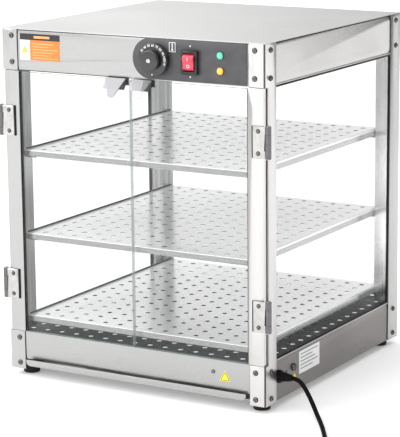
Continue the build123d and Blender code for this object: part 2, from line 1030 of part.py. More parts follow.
def coil_stations():
    """Points and directions at each half turn: in below, up one layer, out above."""
    ahead, left = cord_heading()
    step = (cord_diameter + coil_gap) / 2
    entry = Vector(*cord_route[-1]) + ahead * cord_diameter
    centre = entry + left * coil_outer_radius
    radii = [coil_outer_radius - step * turn for turn in range(coil_turns_in + 1)]
    levels = [0.0] * len(radii)
    radii += [radii[-1] + step * turn for turn in range(coil_turns_out + 1)]
    levels += [2 * step] * (coil_turns_out + 1)
    stations = []
    for turn, (radius, level) in enumerate(zip(radii, levels)):
        sign = 1 if turn % 2 == 0 else -1
        point = centre - left * (sign * radius) + Vector(0, 0, level)
        stations.append((point, ahead * sign))
    return stations


def coil_path():
    """The put-away length's centre line, with one straight diameter at each end."""
    stations = coil_stations()
    first, first_dir = stations[0]
    last, last_dir = stations[-1]
    edges = [Line(first - first_dir * cord_diameter, first)]
    for (start, start_dir), (end, end_dir) in zip(stations, stations[1:]):
        edges += biarc(start, start_dir, end, end_dir)
    edges.append(Line(last, last + last_dir * cord_diameter))
    return Wire([edge for curve in edges for edge in curve.edges()])


def least_coil_gap(path):
    """Smallest free space between turns, measured on points along the path."""
    count = 600
    points = [path @ (index / count) for index in range(count + 1)]
    apart = int(1.5 * pi * cord_diameter / (path.length / count))
    least = min(
        (points[i] - points[j]).length
        for i in range(count + 1)
        for j in range(i + apart, count + 1)
    )
    return least - cord_diameter


def cord_coil():
    """The put-away length, wound in two layers."""
    path = coil_path()
    tube = tube_along(path)
    report_tube("cord_coil", tube, path)
    print(f"cord_coil: least gap {least_coil_gap(path):.2f} mm")
    return tube


def plug():
    """A plain moulded three-pin plug at the end of the coil."""
    last, last_dir = coil_stations()[-1]
    start = last + last_dir * cord_diameter
    seat = Plane(origin=start, x_dir=(0, 0, 1), z_dir=last_dir)
    relief = Cone(
        cord_radius + 0.4,
        plug_relief_wide / 2,
        plug_relief_length,
        align=(Align.CENTER, Align.CENTER, Align.MIN),
    )
    body = Pos(0, 0, plug_relief_length) * Box(
        plug_height, plug_width, plug_length, align=(Align.CENTER, Align.CENTER, Align.MIN)
    )
    body = fillet(body.edges().filter_by(Axis.Z), 5)
    nose = plug_relief_length + plug_length
    for y_sign in (-1, 1):
        body += Pos(-earth_pin_rise / 2, y_sign * blade_spacing / 2, nose) * Box(
            blade_width,
            blade_thickness,
            blade_length,
            align=(Align.CENTER, Align.CENTER, Align.MIN),
        )
    body += Pos(earth_pin_rise, 0, nose) * Cylinder(
        earth_pin_diameter / 2, earth_pin_length, align=(Align.CENTER, Align.CENTER, Align.MIN)
    )
    return seat * (relief + body)


def feet():
    """Four round rubber feet under the base's floor."""
    pads = []
    for x_sign in (-1, 1):
        for y_sign in (-1, 1):
            x = x_sign * (side - foot_inset_x)
            y = y_sign * (depth / 2 - foot_inset_y)
            pad = rod_z(x, y, 0, floor_level, foot_diameter / 2)
            pads.append(fillet(pad.faces().sort_by(Axis.Z)[0].edges(), foot_rounding))
    return joined(pads)


def frame_screws():
    """The screws that hold the posts to the header and the base."""
    screws = []
    shanks = screw_shanks(screw_shank / 2, screw_length)
    for (seat, inward), shank in zip(screw_axes(), shanks):
        outward = tuple(-value for value in inward)
        screws.append(pan_head(seat, outward, screw_head, screw_head_rise) + shank)
    return joined(screws)


def triangle(edge):
    """A small blank three-sided label, lying flat."""
    return extrude(RegularPolygon(edge / 3 ** 0.5, 3, rotation=90), label_thickness)


def labels():
    """Blank labels on the header front and on the base."""
    x0, x1, z0, z1 = front_label
    pieces = [block(x0, x1, panel_front - label_thickness, panel_front, z0, z1)]
    y0, y1, z0, z1 = rating_label
    pieces.append(block(panel_side, panel_side + label_thickness, y0, y1, z0, z1))
    x, z = front_triangle
    face = Plane(origin=(x, panel_front, z), x_dir=(1, 0, 0), z_dir=(0, -1, 0))
    pieces.append(face * triangle(front_triangle_side))
    y, z = side_triangle
    face = Plane(origin=(panel_side, y, z), x_dir=(0, 1, 0), z_dir=(1, 0, 0))
    pieces.append(face * triangle(side_triangle_side))
    return joined(pieces)


def base_fittings():
    """Two small screws and a round cap on the base."""
    x, z = front_small_screw
    head = pan_head((x, panel_front, z), (0, -1, 0), small_screw_diameter, small_screw_rise)
    pieces = [head + rod_y(x, panel_front, panel_front + screw_length, z, screw_shank / 2)]
    y, z = side_small_screw
    head = pan_head((panel_side, y, z), (1, 0, 0), small_screw_diameter, small_screw_rise)
    pieces.append(head + rod_x(panel_side - screw_length, panel_side, y, z, screw_shank / 2))
    y, z = cap_place
    pieces.append(pan_head((panel_side, y, z), (1, 0, 0), cap_diameter, cap_rise))
    return joined(pieces)


def main():
    """Build and write every node."""
    os.makedirs("parts", exist_ok=True)
    save("post_front_right", post(True))
    save("post_front_left", mirrored(post(True)))
    save("post_rear_right", post(False))
    save("post_rear_left", mirrored(post(False)))
    save("roof_panel", roof_panel())
    save("ceiling_panel", ceiling_panel())
    save("header_front", header_front())
    save("header_right", header_side())
    save("header_left", mirrored(header_side()))
    save("header_rear", header_rear())
    save("base_front", base_front())
    save("base_right", base_side(True))
    save("base_left", mirrored(base_side(False)))
    save("base_rear", base_rear())
    save("base_floor", base_floor())
    save("deck_plate", deck_plate())
    save("glass_right", glass_side())
    save("glass_left", mirrored(glass_side()))
    save("glass_rear", glass_rear())
    for name, top in shelf_tops.items():
        save(name, shelf(top))
    save("shelf_pins", shelf_pins())
    door_pieces = {
        "stile": door_stile,
        "glass": door_pane,
        "clip": door_clip,
        "tongue": door_tongue,
        "hinge_leaves": door_leaves,
        "hinge_screws": hinge_screws,
        "post_leaves": fixed_leaves,
    }
    for piece, make in door_pieces.items():
        save("door_right_" + piece, make())
        save("door_left_" + piece, mirrored(make()))
    save("hinge_pins", hinge_pins())
    save("door_catches", door_catches())
    save("water_tray", water_tray())
    save("control_panel", control_panel())
    save("knob_skirt", knob_skirt())
    save("knob_grip", knob_grip())
    save("thermostat_body", thermostat_body())
    save("switch_housing", switch_housing())
    save("switch_rocker", switch_rocker())
    for name, level in lamp_heights.items():
        save(name, indicator(level))
    save("heating_element", heating_element())
    save("element_hangers", element_hangers())
    save("terminal_block", terminal_block())
    save("cable_gland", cable_gland())
    save("power_cord", power_cord())
    save("cord_coil", cord_coil())
    save("plug", plug())
    save("feet", feet())
    save("frame_screws", frame_screws())
    save("labels", labels())
    save("base_fittings", base_fittings())


if __name__ == "__main__":
    main()
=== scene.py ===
"""Dresses the heated display case: finishes, rounded pieces, marks, cord, camera and light."""
from __future__ import annotations

import logging
import math
from dataclasses import dataclass
from enum import Enum
from typing import Any, Callable, Iterable, Sequence

import bpy
from mathutils import Matrix, Vector

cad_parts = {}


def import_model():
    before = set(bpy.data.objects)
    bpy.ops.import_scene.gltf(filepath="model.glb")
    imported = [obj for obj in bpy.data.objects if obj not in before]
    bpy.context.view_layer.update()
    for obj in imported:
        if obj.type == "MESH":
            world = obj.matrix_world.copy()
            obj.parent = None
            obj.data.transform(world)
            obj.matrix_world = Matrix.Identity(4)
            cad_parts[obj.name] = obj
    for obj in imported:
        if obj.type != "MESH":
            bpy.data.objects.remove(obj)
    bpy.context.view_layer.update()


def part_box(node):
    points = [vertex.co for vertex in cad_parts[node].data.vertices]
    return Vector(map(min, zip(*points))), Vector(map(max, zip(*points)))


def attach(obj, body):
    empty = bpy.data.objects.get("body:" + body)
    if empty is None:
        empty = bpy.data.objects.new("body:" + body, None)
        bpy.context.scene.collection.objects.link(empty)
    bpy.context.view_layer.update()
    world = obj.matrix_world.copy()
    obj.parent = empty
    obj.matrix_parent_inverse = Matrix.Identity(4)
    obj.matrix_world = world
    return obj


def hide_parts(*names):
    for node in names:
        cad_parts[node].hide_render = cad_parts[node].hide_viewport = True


log = logging.getLogger("display_case")

MM = 0.001
CASE_MIDDLE_Y = 0.01175
SIDE = 0.254
FRONT = -0.254 + CASE_MIDDLE_Y
BACK = 0.254 + CASE_MIDDLE_Y
PANEL_FRONT = FRONT + 0.002
CONTROL_FRONT = PANEL_FRONT - 0.0015
BASE_TOP = 0.083
HEADER_BOTTOM = 0.5405
ROOF_SEAM = 0.6082
HINGE_LEVELS = (0.165, 0.452)
LAMP_X = 0.1727
GREEN_LAMP_Z = 0.5864
ORANGE_LAMP_Z = 0.5616
HANDS = ((-1, "left"), (1, "right"))
SMOOTH_ANGLE = math.radians(35)

Colour = tuple[float, float, float]
Point = tuple[float, float, float]


class Grain(Enum):
    """The way in which a brushed sheet's grain runs."""

    X = 0
    Y = 1
    Z = 2


class Axis(Enum):
    """A direction in which a small round piece faces."""

    FRONT = (0.0, -1.0, 0.0)
    BACK = (0.0, 1.0, 0.0)
    LEFT = (-1.0, 0.0, 0.0)
    RIGHT = (1.0, 0.0, 0.0)
    UP = (0.0, 0.0, 1.0)


Seats = list[tuple[Point, Axis]]


@dataclass
class Wire:
    """A shader socket that can be used in arithmetic."""

    tree: "Recipe"
    socket: Any

    def _pair(self, other: "Wire | float", operation: str) -> "Wire":
        """This socket and another value, through a Math node."""
        return self.tree.node("ShaderNodeMath", {"operation": operation}, {0: self, 1: other})

    def __add__(self, other: "Wire | float") -> "Wire":
        """The sum."""
        return self._pair(other, "ADD")

    def __sub__(self, other: "Wire | float") -> "Wire":
        """The difference."""
        return self._pair(other, "SUBTRACT")

    def __mul__(self, other: "Wire | float") -> "Wire":
        """The product."""
        return self._pair(other, "MULTIPLY")

    def __lt__(self, other: "Wire | float") -> "Wire":
        """One where this is less than the other value, and zero elsewhere."""
        return self._pair(other, "LESS_THAN")

    def __gt__(self, other: "Wire | float") -> "Wire":
        """One where this is greater than the other value, and zero elsewhere."""
        return self._pair(other, "GREATER_THAN")

    def __abs__(self) -> "Wire":
        """The size without its sign."""
        return self.tree.node("ShaderNodeMath", {"operation": "ABSOLUTE"}, {0: self})

    def at_least(self, other: "Wire | float") -> "Wire":
        """The larger of two values."""
        return self._pair(other, "MAXIMUM")


class Recipe:
    """One material's node tree, built a node at a time."""

    def __init__(self, name: str) -> None:
        """Start a material by its name.

        Args:
            name: The material's name.
        """
        self.material = bpy.data.materials.new(name)
        self.material.use_nodes = True
        self.tree = self.material.node_tree
        self.tree.nodes.clear()

    def node(self, kind: str, settings: dict[str, Any], inputs: dict[Any, Any],
             output: Any = 0) -> Wire:
        """Add a node of any type.

        Args:
            kind: The node's type.
            settings: Properties that are set first; "stops" fills a colour ramp.
            inputs: Values or wires for its sockets, by name or number.
            output: The socket to return, by name or number.

        Returns:
            The chosen output.
        """
        made = self.tree.nodes.new(kind)
        for name, value in settings.items():
            if name == "stops":
                self._fill_ramp(made.color_ramp, value)
            else:
                setattr(made, name, value)
        for name, value in inputs.items():
            if isinstance(value, Wire):
                self.tree.links.new(value.socket, made.inputs[name])
            else:
                made.inputs[name].default_value = value
        return Wire(self, made.outputs[output])

    @staticmethod
    def _fill_ramp(ramp: Any, stops: Sequence[tuple[float, Any]]) -> None:
        """Set a colour ramp's stops.

        Args:
            ramp: The node's colour ramp.
            stops: Places from 0 to 1 with their colours.
        """
        while len(ramp.elements) < len(stops):
            ramp.elements.new(0.5)
        for element, (place, colour) in zip(ramp.elements, stops):
            element.position = place
            element.color = (*colour, 1.0)

    def place(self) -> Wire:
        """The point on the piece, in metres."""
        return self.node("ShaderNodeTexCoord", {}, {}, "Object")

    def parts(self, vector: Wire) -> tuple[Wire, Wire, Wire]:
        """A vector's X, Y and Z.

        Args:
            vector: The vector.

        Returns:
            Its three parts.
        """
        split = self.node("ShaderNodeSeparateXYZ", {}, {0: vector})
        x, y, z = (Wire(self, socket) for socket in split.socket.node.outputs)
        return x, y, z

    def noise(self, vector: Wire, scale: Point, detail: float = 4.0, rough: float = 0.55) -> Wire:
        """Noise that is stretched differently along each axis.

        Args:
            vector: Where on the piece.
            scale: Cells per metre along each axis.
            detail: Octaves.
            rough: How strong the fine octaves are.

        Returns:
            A value from 0 to 1.
        """
        mapped = self.node("ShaderNodeMapping", {}, {"Vector": vector, "Scale": scale})
        inputs = {"Vector": mapped, "Scale": 1.0, "Detail": detail, "Roughness": rough}
        return self.node("ShaderNodeTexNoise", {}, inputs)

    def ramp(self, value: Wire, stops: Sequence[tuple[float, Colour]]) -> Wire:
        """Colours along a value."""
        return self.node("ShaderNodeValToRGB", {"stops": stops}, {0: value})

    def remap(self, value: Wire, low: float, high: float, to_low: float, to_high: float) -> Wire:
        """A value taken from one range to another, and clamped.

        Args:
            value: The value.
            low: The first range's start.
            high: Its end.
            to_low: What the start becomes.
            to_high: What the end becomes.

        Returns:
            The new value.
        """
        return self.node(
            "ShaderNodeMapRange", {}, {0: value, 1: low, 2: high, 3: to_low, 4: to_high}
        )

    def mix(self, factor: Wire | float, first: Any, second: Any) -> Wire:
        """Two colours or wires, with the given share of the second.

        Args:
            factor: The share of the second.
            first: A colour or a wire.
            second: A colour or a wire.

        Returns:
            The mixed colour.
        """
        first, second = ((*c, 1.0) if isinstance(c, tuple) else c for c in (first, second))
        inputs = {0: factor, 6: first, 7: second}
        return self.node("ShaderNodeMix", {"data_type": "RGBA"}, inputs, 2)

    def bump(self, height: Wire, strength: float, distance: float) -> Wire:
        """A normal from a height."""
        inputs = {"Height": height, "Strength": strength, "Distance": distance}
        return self.node("ShaderNodeBump", {}, inputs)

    def surface(self, **sockets: Any) -> bpy.types.Material:
        """Finish with a Principled shader.

        Args:
            **sockets: The shader's sockets, with underscores for spaces.

        Returns:
            The material.
        """
        inputs = {name.replace("_", " "): value for name, value in sockets.items()}
        for name, value in inputs.items():
            if isinstance(value, tuple) and len(value) == 3:
                inputs[name] = (*value, 1.0)
        shader = self.node("ShaderNodeBsdfPrincipled", {}, inputs)
        self.finish(shader, "ShaderNodeOutputMaterial")
        return self.material

    def finish(self, shader: Wire, kind: str) -> None:
        """Join a shader to an output node of a type."""
        output = self.tree.nodes.new(kind)
        self.tree.links.new(shader.socket, output.inputs[0])


class Sky(Recipe):
    """The studio's surroundings: pale walls with one dim side."""

    def __init__(self, name: str) -> None:
        """Start the surroundings by their name.

        Args:
            name: The world's name.
        """
        self.world = bpy.data.worlds.new(name)
        self.world.use_nodes = True
        self.tree = self.world.node_tree
        self.tree.nodes.clear()

    def make(self, dim_side: float, width: float, bright: float, dim: float) -> bpy.types.World:
        """Build the walls' light.

        Args:
            dim_side: The dim side's direction, in radians from +X towards +Y.
            width: How far the dim side reaches, as a cosine.
            bright: The pale walls' strength.
            dim: The dim side's strength.

        Returns:
            The world.
        """
        x, y, z = self.parts(self.node("ShaderNodeTexCoord", {}, {}, "Generated"))
        facing = x * math.cos(dim_side) + y * math.sin(dim_side)
        shade = self.remap(facing, width, 0.85, 0.0, 1.0)
        low = self.remap(z, 0.25, 0.7, 1.0, 0.0)
        strength = self.remap(shade * low, 0.0, 1.0, bright, dim)
        inputs = {"Color": (1.0, 1.0, 1.0, 1.0), "Strength": strength}
        shader = self.node("ShaderNodeBackground", {}, inputs)
        self.finish(shader, "ShaderNodeOutputWorld")
        return self.world


@dataclass(frozen=True)
class BrushedSteel:
    """Stainless sheet with a fine grain, faint waves and soft smudges; the roof can take painted shade
    towards the rear right, and the posts painted light.
    """

    name: str
    grain: Grain
    tone: float = 0.72
    roughness: float = 0.3
    fold_line: bool = False
    tint: Colour = (1.0, 1.0, 0.99)
    # Painted shade towards the rear right; 1.0 leaves none.
    far_tone: float = 1.0
    # Painted light on the posts: reflected columns inside, painted highlights, painted shade at the
    # rear left and a dark fold line.
    inner_dark: Colour = (0.4, 0.4, 0.41)
    inner_pale: Colour = (0.725, 0.715, 0.705)
    front_pale: Colour = (0.68, 0.665, 0.655)
    rear_pale: Colour = (0.8, 0.8, 0.8)
    rear_dark: Colour = (0.12, 0.12, 0.125)
    fold_dark: Colour = (0.03, 0.03, 0.03)
    skin: float = 0.0024

    def make(self) -> bpy.types.Material:
        """Build the finish.

        Returns:
            The material.
        """
        recipe = Recipe(self.name)
        place = recipe.place()
        scale = [1400.0, 1400.0, 1400.0]
        scale[self.grain.value] = 5.0
        streaks = recipe.noise(place, tuple(scale), 3.0, 0.6)
        wide = [60.0, 60.0, 60.0]
        wide[self.grain.value] = 2.5
        bands = recipe.noise(place, tuple(wide), 2.0)
        smudges = recipe.noise(place, (7.0, 7.0, 7.0), 3.0)
        shade = (streaks - 0.5) * 0.10 + (bands - 0.5) * 0.02 + 0.5
        dark = tuple(self.tone * value * 0.88 for value in self.tint)
        light = tuple(min(1.0, self.tone * value * 1.1) for value in self.tint)
        colour = recipe.ramp(shade, [(0.42, dark), (0.58, light)])
        # Painted shade: the sheet darkens towards the rear right, as the reflected dim side would make
        # it.
        if self.far_tone != 1.0:
            x, y, _ = recipe.parts(place)
            away = recipe.remap(x + y * 0.9, -0.15, 0.45, 0.0, 1.0)
            far = tuple(self.tone * value * self.far_tone for value in self.tint)
            colour = recipe.mix(away, colour, far)
        # Posts: painted highlights, painted reflections and a painted shade line at the fold.
        if self.fold_line:
            colour = self._post_colour(recipe, place, colour)
        rough = recipe.remap(smudges, 0.35, 0.7, self.roughness - 0.05, self.roughness + 0.07)
        rough = rough + (streaks - 0.5) * 0.12
        return recipe.surface(
            Base_Color=colour,
            Metallic=1.0,
            Roughness=rough,
            Normal=recipe.bump(streaks, 0.05, 0.0002),
        )

    def _post_colour(self, recipe: Recipe, place: Wire, colour: Wire) -> Wire:
        """The posts' painted light: a painted highlight on the right front, painted reflections of
        columns on the inner faces, lighter at the rear right and darker at the rear left, and a
        painted shade line along the front right fold.

        Args:
            recipe: The material's nodes.
            place: The point on the piece.
            colour: The plain sheet's colour.

        Returns:
            The colour with that painted light.
        """
        x, y, _ = recipe.parts(place)
        # Painted highlight on the right front.
        highlight_side = (x > 0.0) * (y < 0.0)
        colour = recipe.mix(highlight_side * 0.8, colour, self.front_pale)
        depth = abs(y - CASE_MIDDLE_Y)
        inside = (abs(x) < SIDE - self.skin) * (depth < SIDE - self.skin)
        # Painted reflections of columns on the inner faces.
        columns = recipe.noise(place, (110.0, 110.0, 0.6), 3.0)
        shade = recipe.remap(columns, 0.35, 0.65, 0.0, 1.0)
        inner = recipe.ramp(shade, [(0.0, self.inner_dark), (1.0, self.inner_pale)])
        # Painted highlight at the rear right and painted shade at the rear left.
        rear_right = (x > 0.0) * (y > 0.0)
        inner = recipe.mix(rear_right * 0.8, inner, self.rear_pale)
        rear_left = (x < 0.0) * (y > 0.0)
        inner = recipe.mix(rear_left * 0.45, inner, self.rear_dark)
        colour = recipe.mix(inside, colour, inner)
        # Painted shade line along the front right fold.
        fold = (x > SIDE - 0.0030) * (x < SIDE + 0.0010) * (y < FRONT + 0.0010)
        return recipe.mix(fold * 0.9, colour, self.fold_dark)


@dataclass(frozen=True)
class ShelfSteel:
    """Bright polished shelf plate with painted glow; its folded lip and the walls of its holes are
    painted darker as shade.
    """

    name: str
    tops: tuple[float, ...]
    lip: float = 0.0105
    fold: float = 0.0011
    tone: float = 0.97
    # Painted shade: front and rear lips darker than the side lips, both far darker than the plate.
    lip_tone: float = 0.36
    side_lip_tone: float = 0.62
    # Painted glow on the plate.
    glow: float = 0.17
    middle: float = 0.0015 + CASE_MIDDLE_Y
    half_depth: float = 0.2410
    half_width: float = 0.2215

    def make(self) -> bpy.types.Material:
        """Build the finish.

        Returns:
            The material.
        """
        recipe = Recipe(self.name)
        place = recipe.place()
        streaks = recipe.noise(place, (9.0, 1200.0, 1200.0), 3.0, 0.6)
        clouds = recipe.noise(place, (6.0, 6.0, 30.0), 3.0)
        x, y, z = recipe.parts(place)
        field = (abs(x) < self.half_width) * (abs(y - self.middle) < self.half_depth)
        lip: Wire | float = 0.0
        wall: Wire | float = 0.0
        for top in self.tops:
            lip = (z < top - self.fold) * (z > top - self.lip - 0.001) + lip
            # The walls of the holes, painted near black as shade.
            wall = (z < top - 0.00004) * (z > top - self.fold) * field + wall
        dull, bright = (self.tone * 0.97,) * 3, (self.tone * 1.03,) * 3
        plate = recipe.ramp(streaks, [(0.35, dull), (0.65, bright)])
        # Painted shade on the lips, darker at the front and rear than at the sides.
        side = abs(x) > self.half_width
        shaded_lips = recipe.mix(side, (self.lip_tone,) * 3, (self.side_lip_tone,) * 3)
        colour = recipe.mix(wall, recipe.mix(lip, plate, shaded_lips), (0.004, 0.004, 0.004))
        return recipe.surface(
            Base_Color=colour,
            # The plate glows a little as painted light; the lips don't.
            Emission_Color=recipe.mix(lip, colour, (0.0, 0.0, 0.0)),
            Emission_Strength=self.glow,
            Metallic=0.6,
            Roughness=recipe.remap(clouds, 0.3, 0.7, 0.16, 0.22),
            Normal=recipe.bump(streaks, 0.02, 0.0002),
        )


@dataclass(frozen=True)
class PlainMetal:
    """Plated or painted metal with slight unevenness."""

    name: str
    colour: Colour
    roughness: float
    metallic: float = 1.0
    speckle: float = 0.12

    def make(self) -> bpy.types.Material:
        """Build the finish.

        Returns:
            The material.
        """
        recipe = Recipe(self.name)
        place = recipe.place()
        mottle = recipe.noise(place, (90.0, 90.0, 90.0), 4.0)
        fine = recipe.noise(place, (1800.0, 1800.0, 1800.0), 2.0)
        low = tuple(value * (1 - self.speckle) for value in self.colour)
        high = tuple(min(1.0, value * (1 + self.speckle)) for value in self.colour)
        return recipe.surface(
            Base_Color=recipe.ramp(mottle, [(0.3, low), (0.7, high)]),
            Metallic=self.metallic,
            Roughness=recipe.remap(fine, 0.3, 0.7, self.roughness - 0.04, self.roughness + 0.05),
            Normal=recipe.bump(fine, 0.08, 0.0001),
        )


@dataclass(frozen=True)
class MouldedPlastic:
    """Moulded plastic or rubber with a fine pebble."""

    name: str
    colour: Colour
    roughness: float
    pebble: float = 0.25
    coat: float = 0.0
    shine: float = 0.5
    # Painted glow, for parts that are no lamps.
    glow: float = 0.0

    def make(self) -> bpy.types.Material:
        """Build the finish.

        Returns:
            The material.
        """
        recipe = Recipe(self.name)
        place = recipe.place()
        pebble = recipe.noise(place, (2600.0, 2600.0, 2600.0), 2.0)
        cloud = recipe.noise(place, (45.0, 45.0, 45.0), 3.0)
        low = tuple(value * 0.85 for value in self.colour)
        high = tuple(min(1.0, value * 1.15 + 0.004) for value in self.colour)
        return recipe.surface(
            Base_Color=recipe.ramp(cloud, [(0.3, low), (0.7, high)]),
            Roughness=recipe.remap(pebble, 0.3, 0.7, self.roughness - 0.05, self.roughness + 0.06),
            Coat_Weight=self.coat,
            Specular_IOR_Level=self.shine,
            Emission_Color=self.colour,
            Emission_Strength=self.glow,
            Normal=recipe.bump(pebble, self.pebble, 0.0001),
        )


@dataclass(frozen=True)
class ClearPane:
    """Clear glass that lets the light through, with faint wipe marks."""

    name: str
    tint: Colour
    cover: float
    roughness: float = 0.04

    def make(self) -> bpy.types.Material:
        """Build the finish.

        Returns:
            The material.
        """
        recipe = Recipe(self.name)
        place = recipe.place()
        wipes = recipe.noise(place, (5.0, 5.0, 14.0), 4.0)
        haze = recipe.remap(wipes, 0.3, 0.8, self.cover * 0.96, self.cover * 1.06)
        material = recipe.surface(
            Base_Color=self.tint,
            Roughness=recipe.remap(wipes, 0.4, 0.75, self.roughness, self.roughness + 0.04),
            Alpha=haze,
            IOR=1.5,
        )
        material.surface_render_method = "BLENDED"
        return material


@dataclass(frozen=True)
class LampLens:
    """A coloured pilot-lamp lens with a glow at its middle."""

    name: str
    colour: Colour
    height: float

    def make(self) -> bpy.types.Material:
        """Build the finish.

        Returns:
            The material.
        """
        recipe = Recipe(self.name)
        x, _, z = recipe.parts(recipe.place())
        away = abs(x - LAMP_X).at_least(abs(z - self.height))
        core = recipe.remap(away, 0.0, 0.0058, 1.0, 0.0)
        pale = tuple(min(1.0, value * 1.5 + 0.08) for value in self.colour)
        ribs = recipe.noise(recipe.place(), (900.0, 900.0, 900.0), 1.0)
        return recipe.surface(
            Base_Color=recipe.mix(core, self.colour, pale),
            Roughness=0.16,
            Coat_Weight=0.6,
            Emission_Color=recipe.mix(core, tuple(v * 0.5 for v in self.colour), pale),
            Emission_Strength=0.18,
            Normal=recipe.bump(ribs, 0.15, 0.0003),
        )


@dataclass(frozen=True)
class ClipPlastic:
    """Handle-clip plastic: black, with a pale film where the tongue is fixed."""

    name: str = "handle clip plastic"
    left_split: float = -0.021
    right_split: float = 0.029

    def make(self) -> bpy.types.Material:
        """Build the finish.

        Returns:
            The material.
        """
        recipe = Recipe(self.name)
        place = recipe.place()
        x, y, _ = recipe.parts(place)
        pebble = recipe.noise(place, (2600.0, 2600.0, 2600.0), 2.0)
        film = (x < self.left_split) + (x > 0.0) * (x < self.right_split)
        film = film * (y < FRONT + 0.0005)
        return recipe.surface(
            Base_Color=recipe.mix(film, (0.012, 0.012, 0.013), (0.42, 0.42, 0.43)),
            Roughness=recipe.remap(pebble, 0.3, 0.7, 0.32, 0.42),
            Normal=recipe.bump(pebble, 0.2, 0.0001),
        )


@dataclass(frozen=True)
class ColourBlocks:
    """A blank three-colour label: a dark band on top, a pale end and a warm field."""

    name: str = "front label film"
    band_bottom: float = 0.5915
    pale_end: float = -0.198

    def make(self) -> bpy.types.Material:
        """Build the finish.

        Returns:
            The material.
        """
        recipe = Recipe(self.name)
        place = recipe.place()
        x, _, z = recipe.parts(place)
        fibre = recipe.noise(place, (700.0, 700.0, 700.0), 2.0)
        warm = recipe.ramp(fibre, [(0.3, (0.80, 0.19, 0.03)), (0.7, (0.86, 0.24, 0.05))])
        colour = recipe.mix(x < self.pale_end, warm, (0.83, 0.80, 0.77))
        colour = recipe.mix(z > self.band_bottom, colour, (0.022, 0.02, 0.02))
        return recipe.surface(
            Base_Color=colour, Roughness=0.38, Normal=recipe.bump(fibre, 0.05, 0.0001)
        )


class Finishes:
    """All the case's materials, each made once."""

    def __init__(self) -> None:
        """Make every finish."""
        self.steel_x = BrushedSteel("steel grain across", Grain.X, 0.44).make()
        self.steel_y = BrushedSteel(
            "steel grain front to back", Grain.Y, 0.52, tint=(1.0, 0.985, 0.97)).make()
        # The base sides: the same sheet as the header sides, painted much darker as shade, with a warm
        # tint.
        self.steel_base = BrushedSteel(
            "base side steel", Grain.Y, 0.20, tint=(1.0, 0.95, 0.92)).make()
        # The posts carry painted highlights, painted reflections and a painted fold shade.
        self.steel_z = BrushedSteel("steel grain upright", Grain.Z, 0.46, fold_line=True).make()
        # The roof is painted darker towards the rear right as shade.
        self.roof = BrushedSteel("roof steel", Grain.X, 0.78, 0.34, far_tone=0.62).make()
        self.shelf = ShelfSteel("shelf steel", (0.4, 0.254, 0.108)).make()
        self.hinge = PlainMetal("hinge plate", (0.5, 0.49, 0.48), 0.24).make()
        # The hinge metal again, painted much darker on the barrel as reflection.
        self.barrel = PlainMetal("hinge barrel", (0.16, 0.155, 0.155), 0.25).make()
        self.screw = PlainMetal("screw plating", (0.17, 0.165, 0.16), 0.1).make()
        self.deck = MouldedPlastic("dark deck", (0.022, 0.022, 0.023), 0.42, 0.1, shine=0.15).make()
        # A pale sheet with painted glow, so the deck's holes look lit from below.
        self.reflector = MouldedPlastic(
            "reflector sheet", (0.9, 0.9, 0.9), 0.3, 0.05, glow=0.8).make()
        # Inner faces of the shelf hems, painted near black as shade.
        self.inner_hem = MouldedPlastic(
            "shaded hem", (0.012, 0.012, 0.012), 0.5, 0.05, shine=0.1).make()
        self.control = MouldedPlastic("control panel film", (0.058, 0.058, 0.062), 0.42, 0.1).make()
        self.black = MouldedPlastic("black plastic", (0.012, 0.012, 0.013), 0.36).make()
        self.knob = MouldedPlastic("knob plastic", (0.018, 0.018, 0.019), 0.24, 0.1, 0.5).make()
        self.rubber = MouldedPlastic("black rubber", (0.010, 0.010, 0.010), 0.55, shine=0.2).make()
        self.cord = MouldedPlastic("cord sheath", (0.004, 0.004, 0.004), 0.5, 0.1, shine=0.04).make()
        self.gland = MouldedPlastic("gland nylon", (0.005, 0.005, 0.005), 0.4, 0.1, shine=0.1).make()
        self.red = MouldedPlastic("red switch", (0.62, 0.03, 0.07), 0.2, 0.05, 0.5).make()
        self.white = MouldedPlastic("white print", (0.85, 0.85, 0.85), 0.5, 0.05).make()
        self.ceramic = MouldedPlastic("ceramic", (0.8, 0.79, 0.74), 0.45).make()
        self.glass = ClearPane("clear glass", (0.30, 0.32, 0.32), 0.09).make()
        self.glass_edge = ClearPane("glass edge", (0.34, 0.42, 0.40), 0.6, 0.1).make()
        self.frosted = ClearPane("frosted acrylic", (0.46, 0.45, 0.47), 0.85, 0.32).make()
        self.clear_tongue = ClearPane("clear acrylic", (0.6, 0.6, 0.61), 0.3, 0.1).make()
        self.clip = ClipPlastic().make()
        self.green = LampLens("green lens", (0.05, 0.42, 0.28), GREEN_LAMP_Z).make()
        self.orange = LampLens("orange lens", (0.95, 0.38, 0.01), ORANGE_LAMP_Z).make()
        self.label = ColourBlocks().make()
        self.pale_orange = MouldedPlastic("pale orange print", (0.9, 0.42, 0.16), 0.5, 0.05).make()
        self.plate = PlainMetal("rating plate", (0.78, 0.78, 0.78), 0.34, 0.6, 0.05).make()
        self.grey_print = MouldedPlastic("grey print", (0.25, 0.25, 0.26), 0.5, 0.05).make()
        self.yellow = MouldedPlastic("yellow film", (0.86, 0.76, 0.03), 0.4, 0.05).make()
        self.dark_print = MouldedPlastic("dark print", (0.05, 0.045, 0.02), 0.5, 0.05).make()
        self.chrome = PlainMetal("bright cap", (0.85, 0.85, 0.85), 0.12).make()


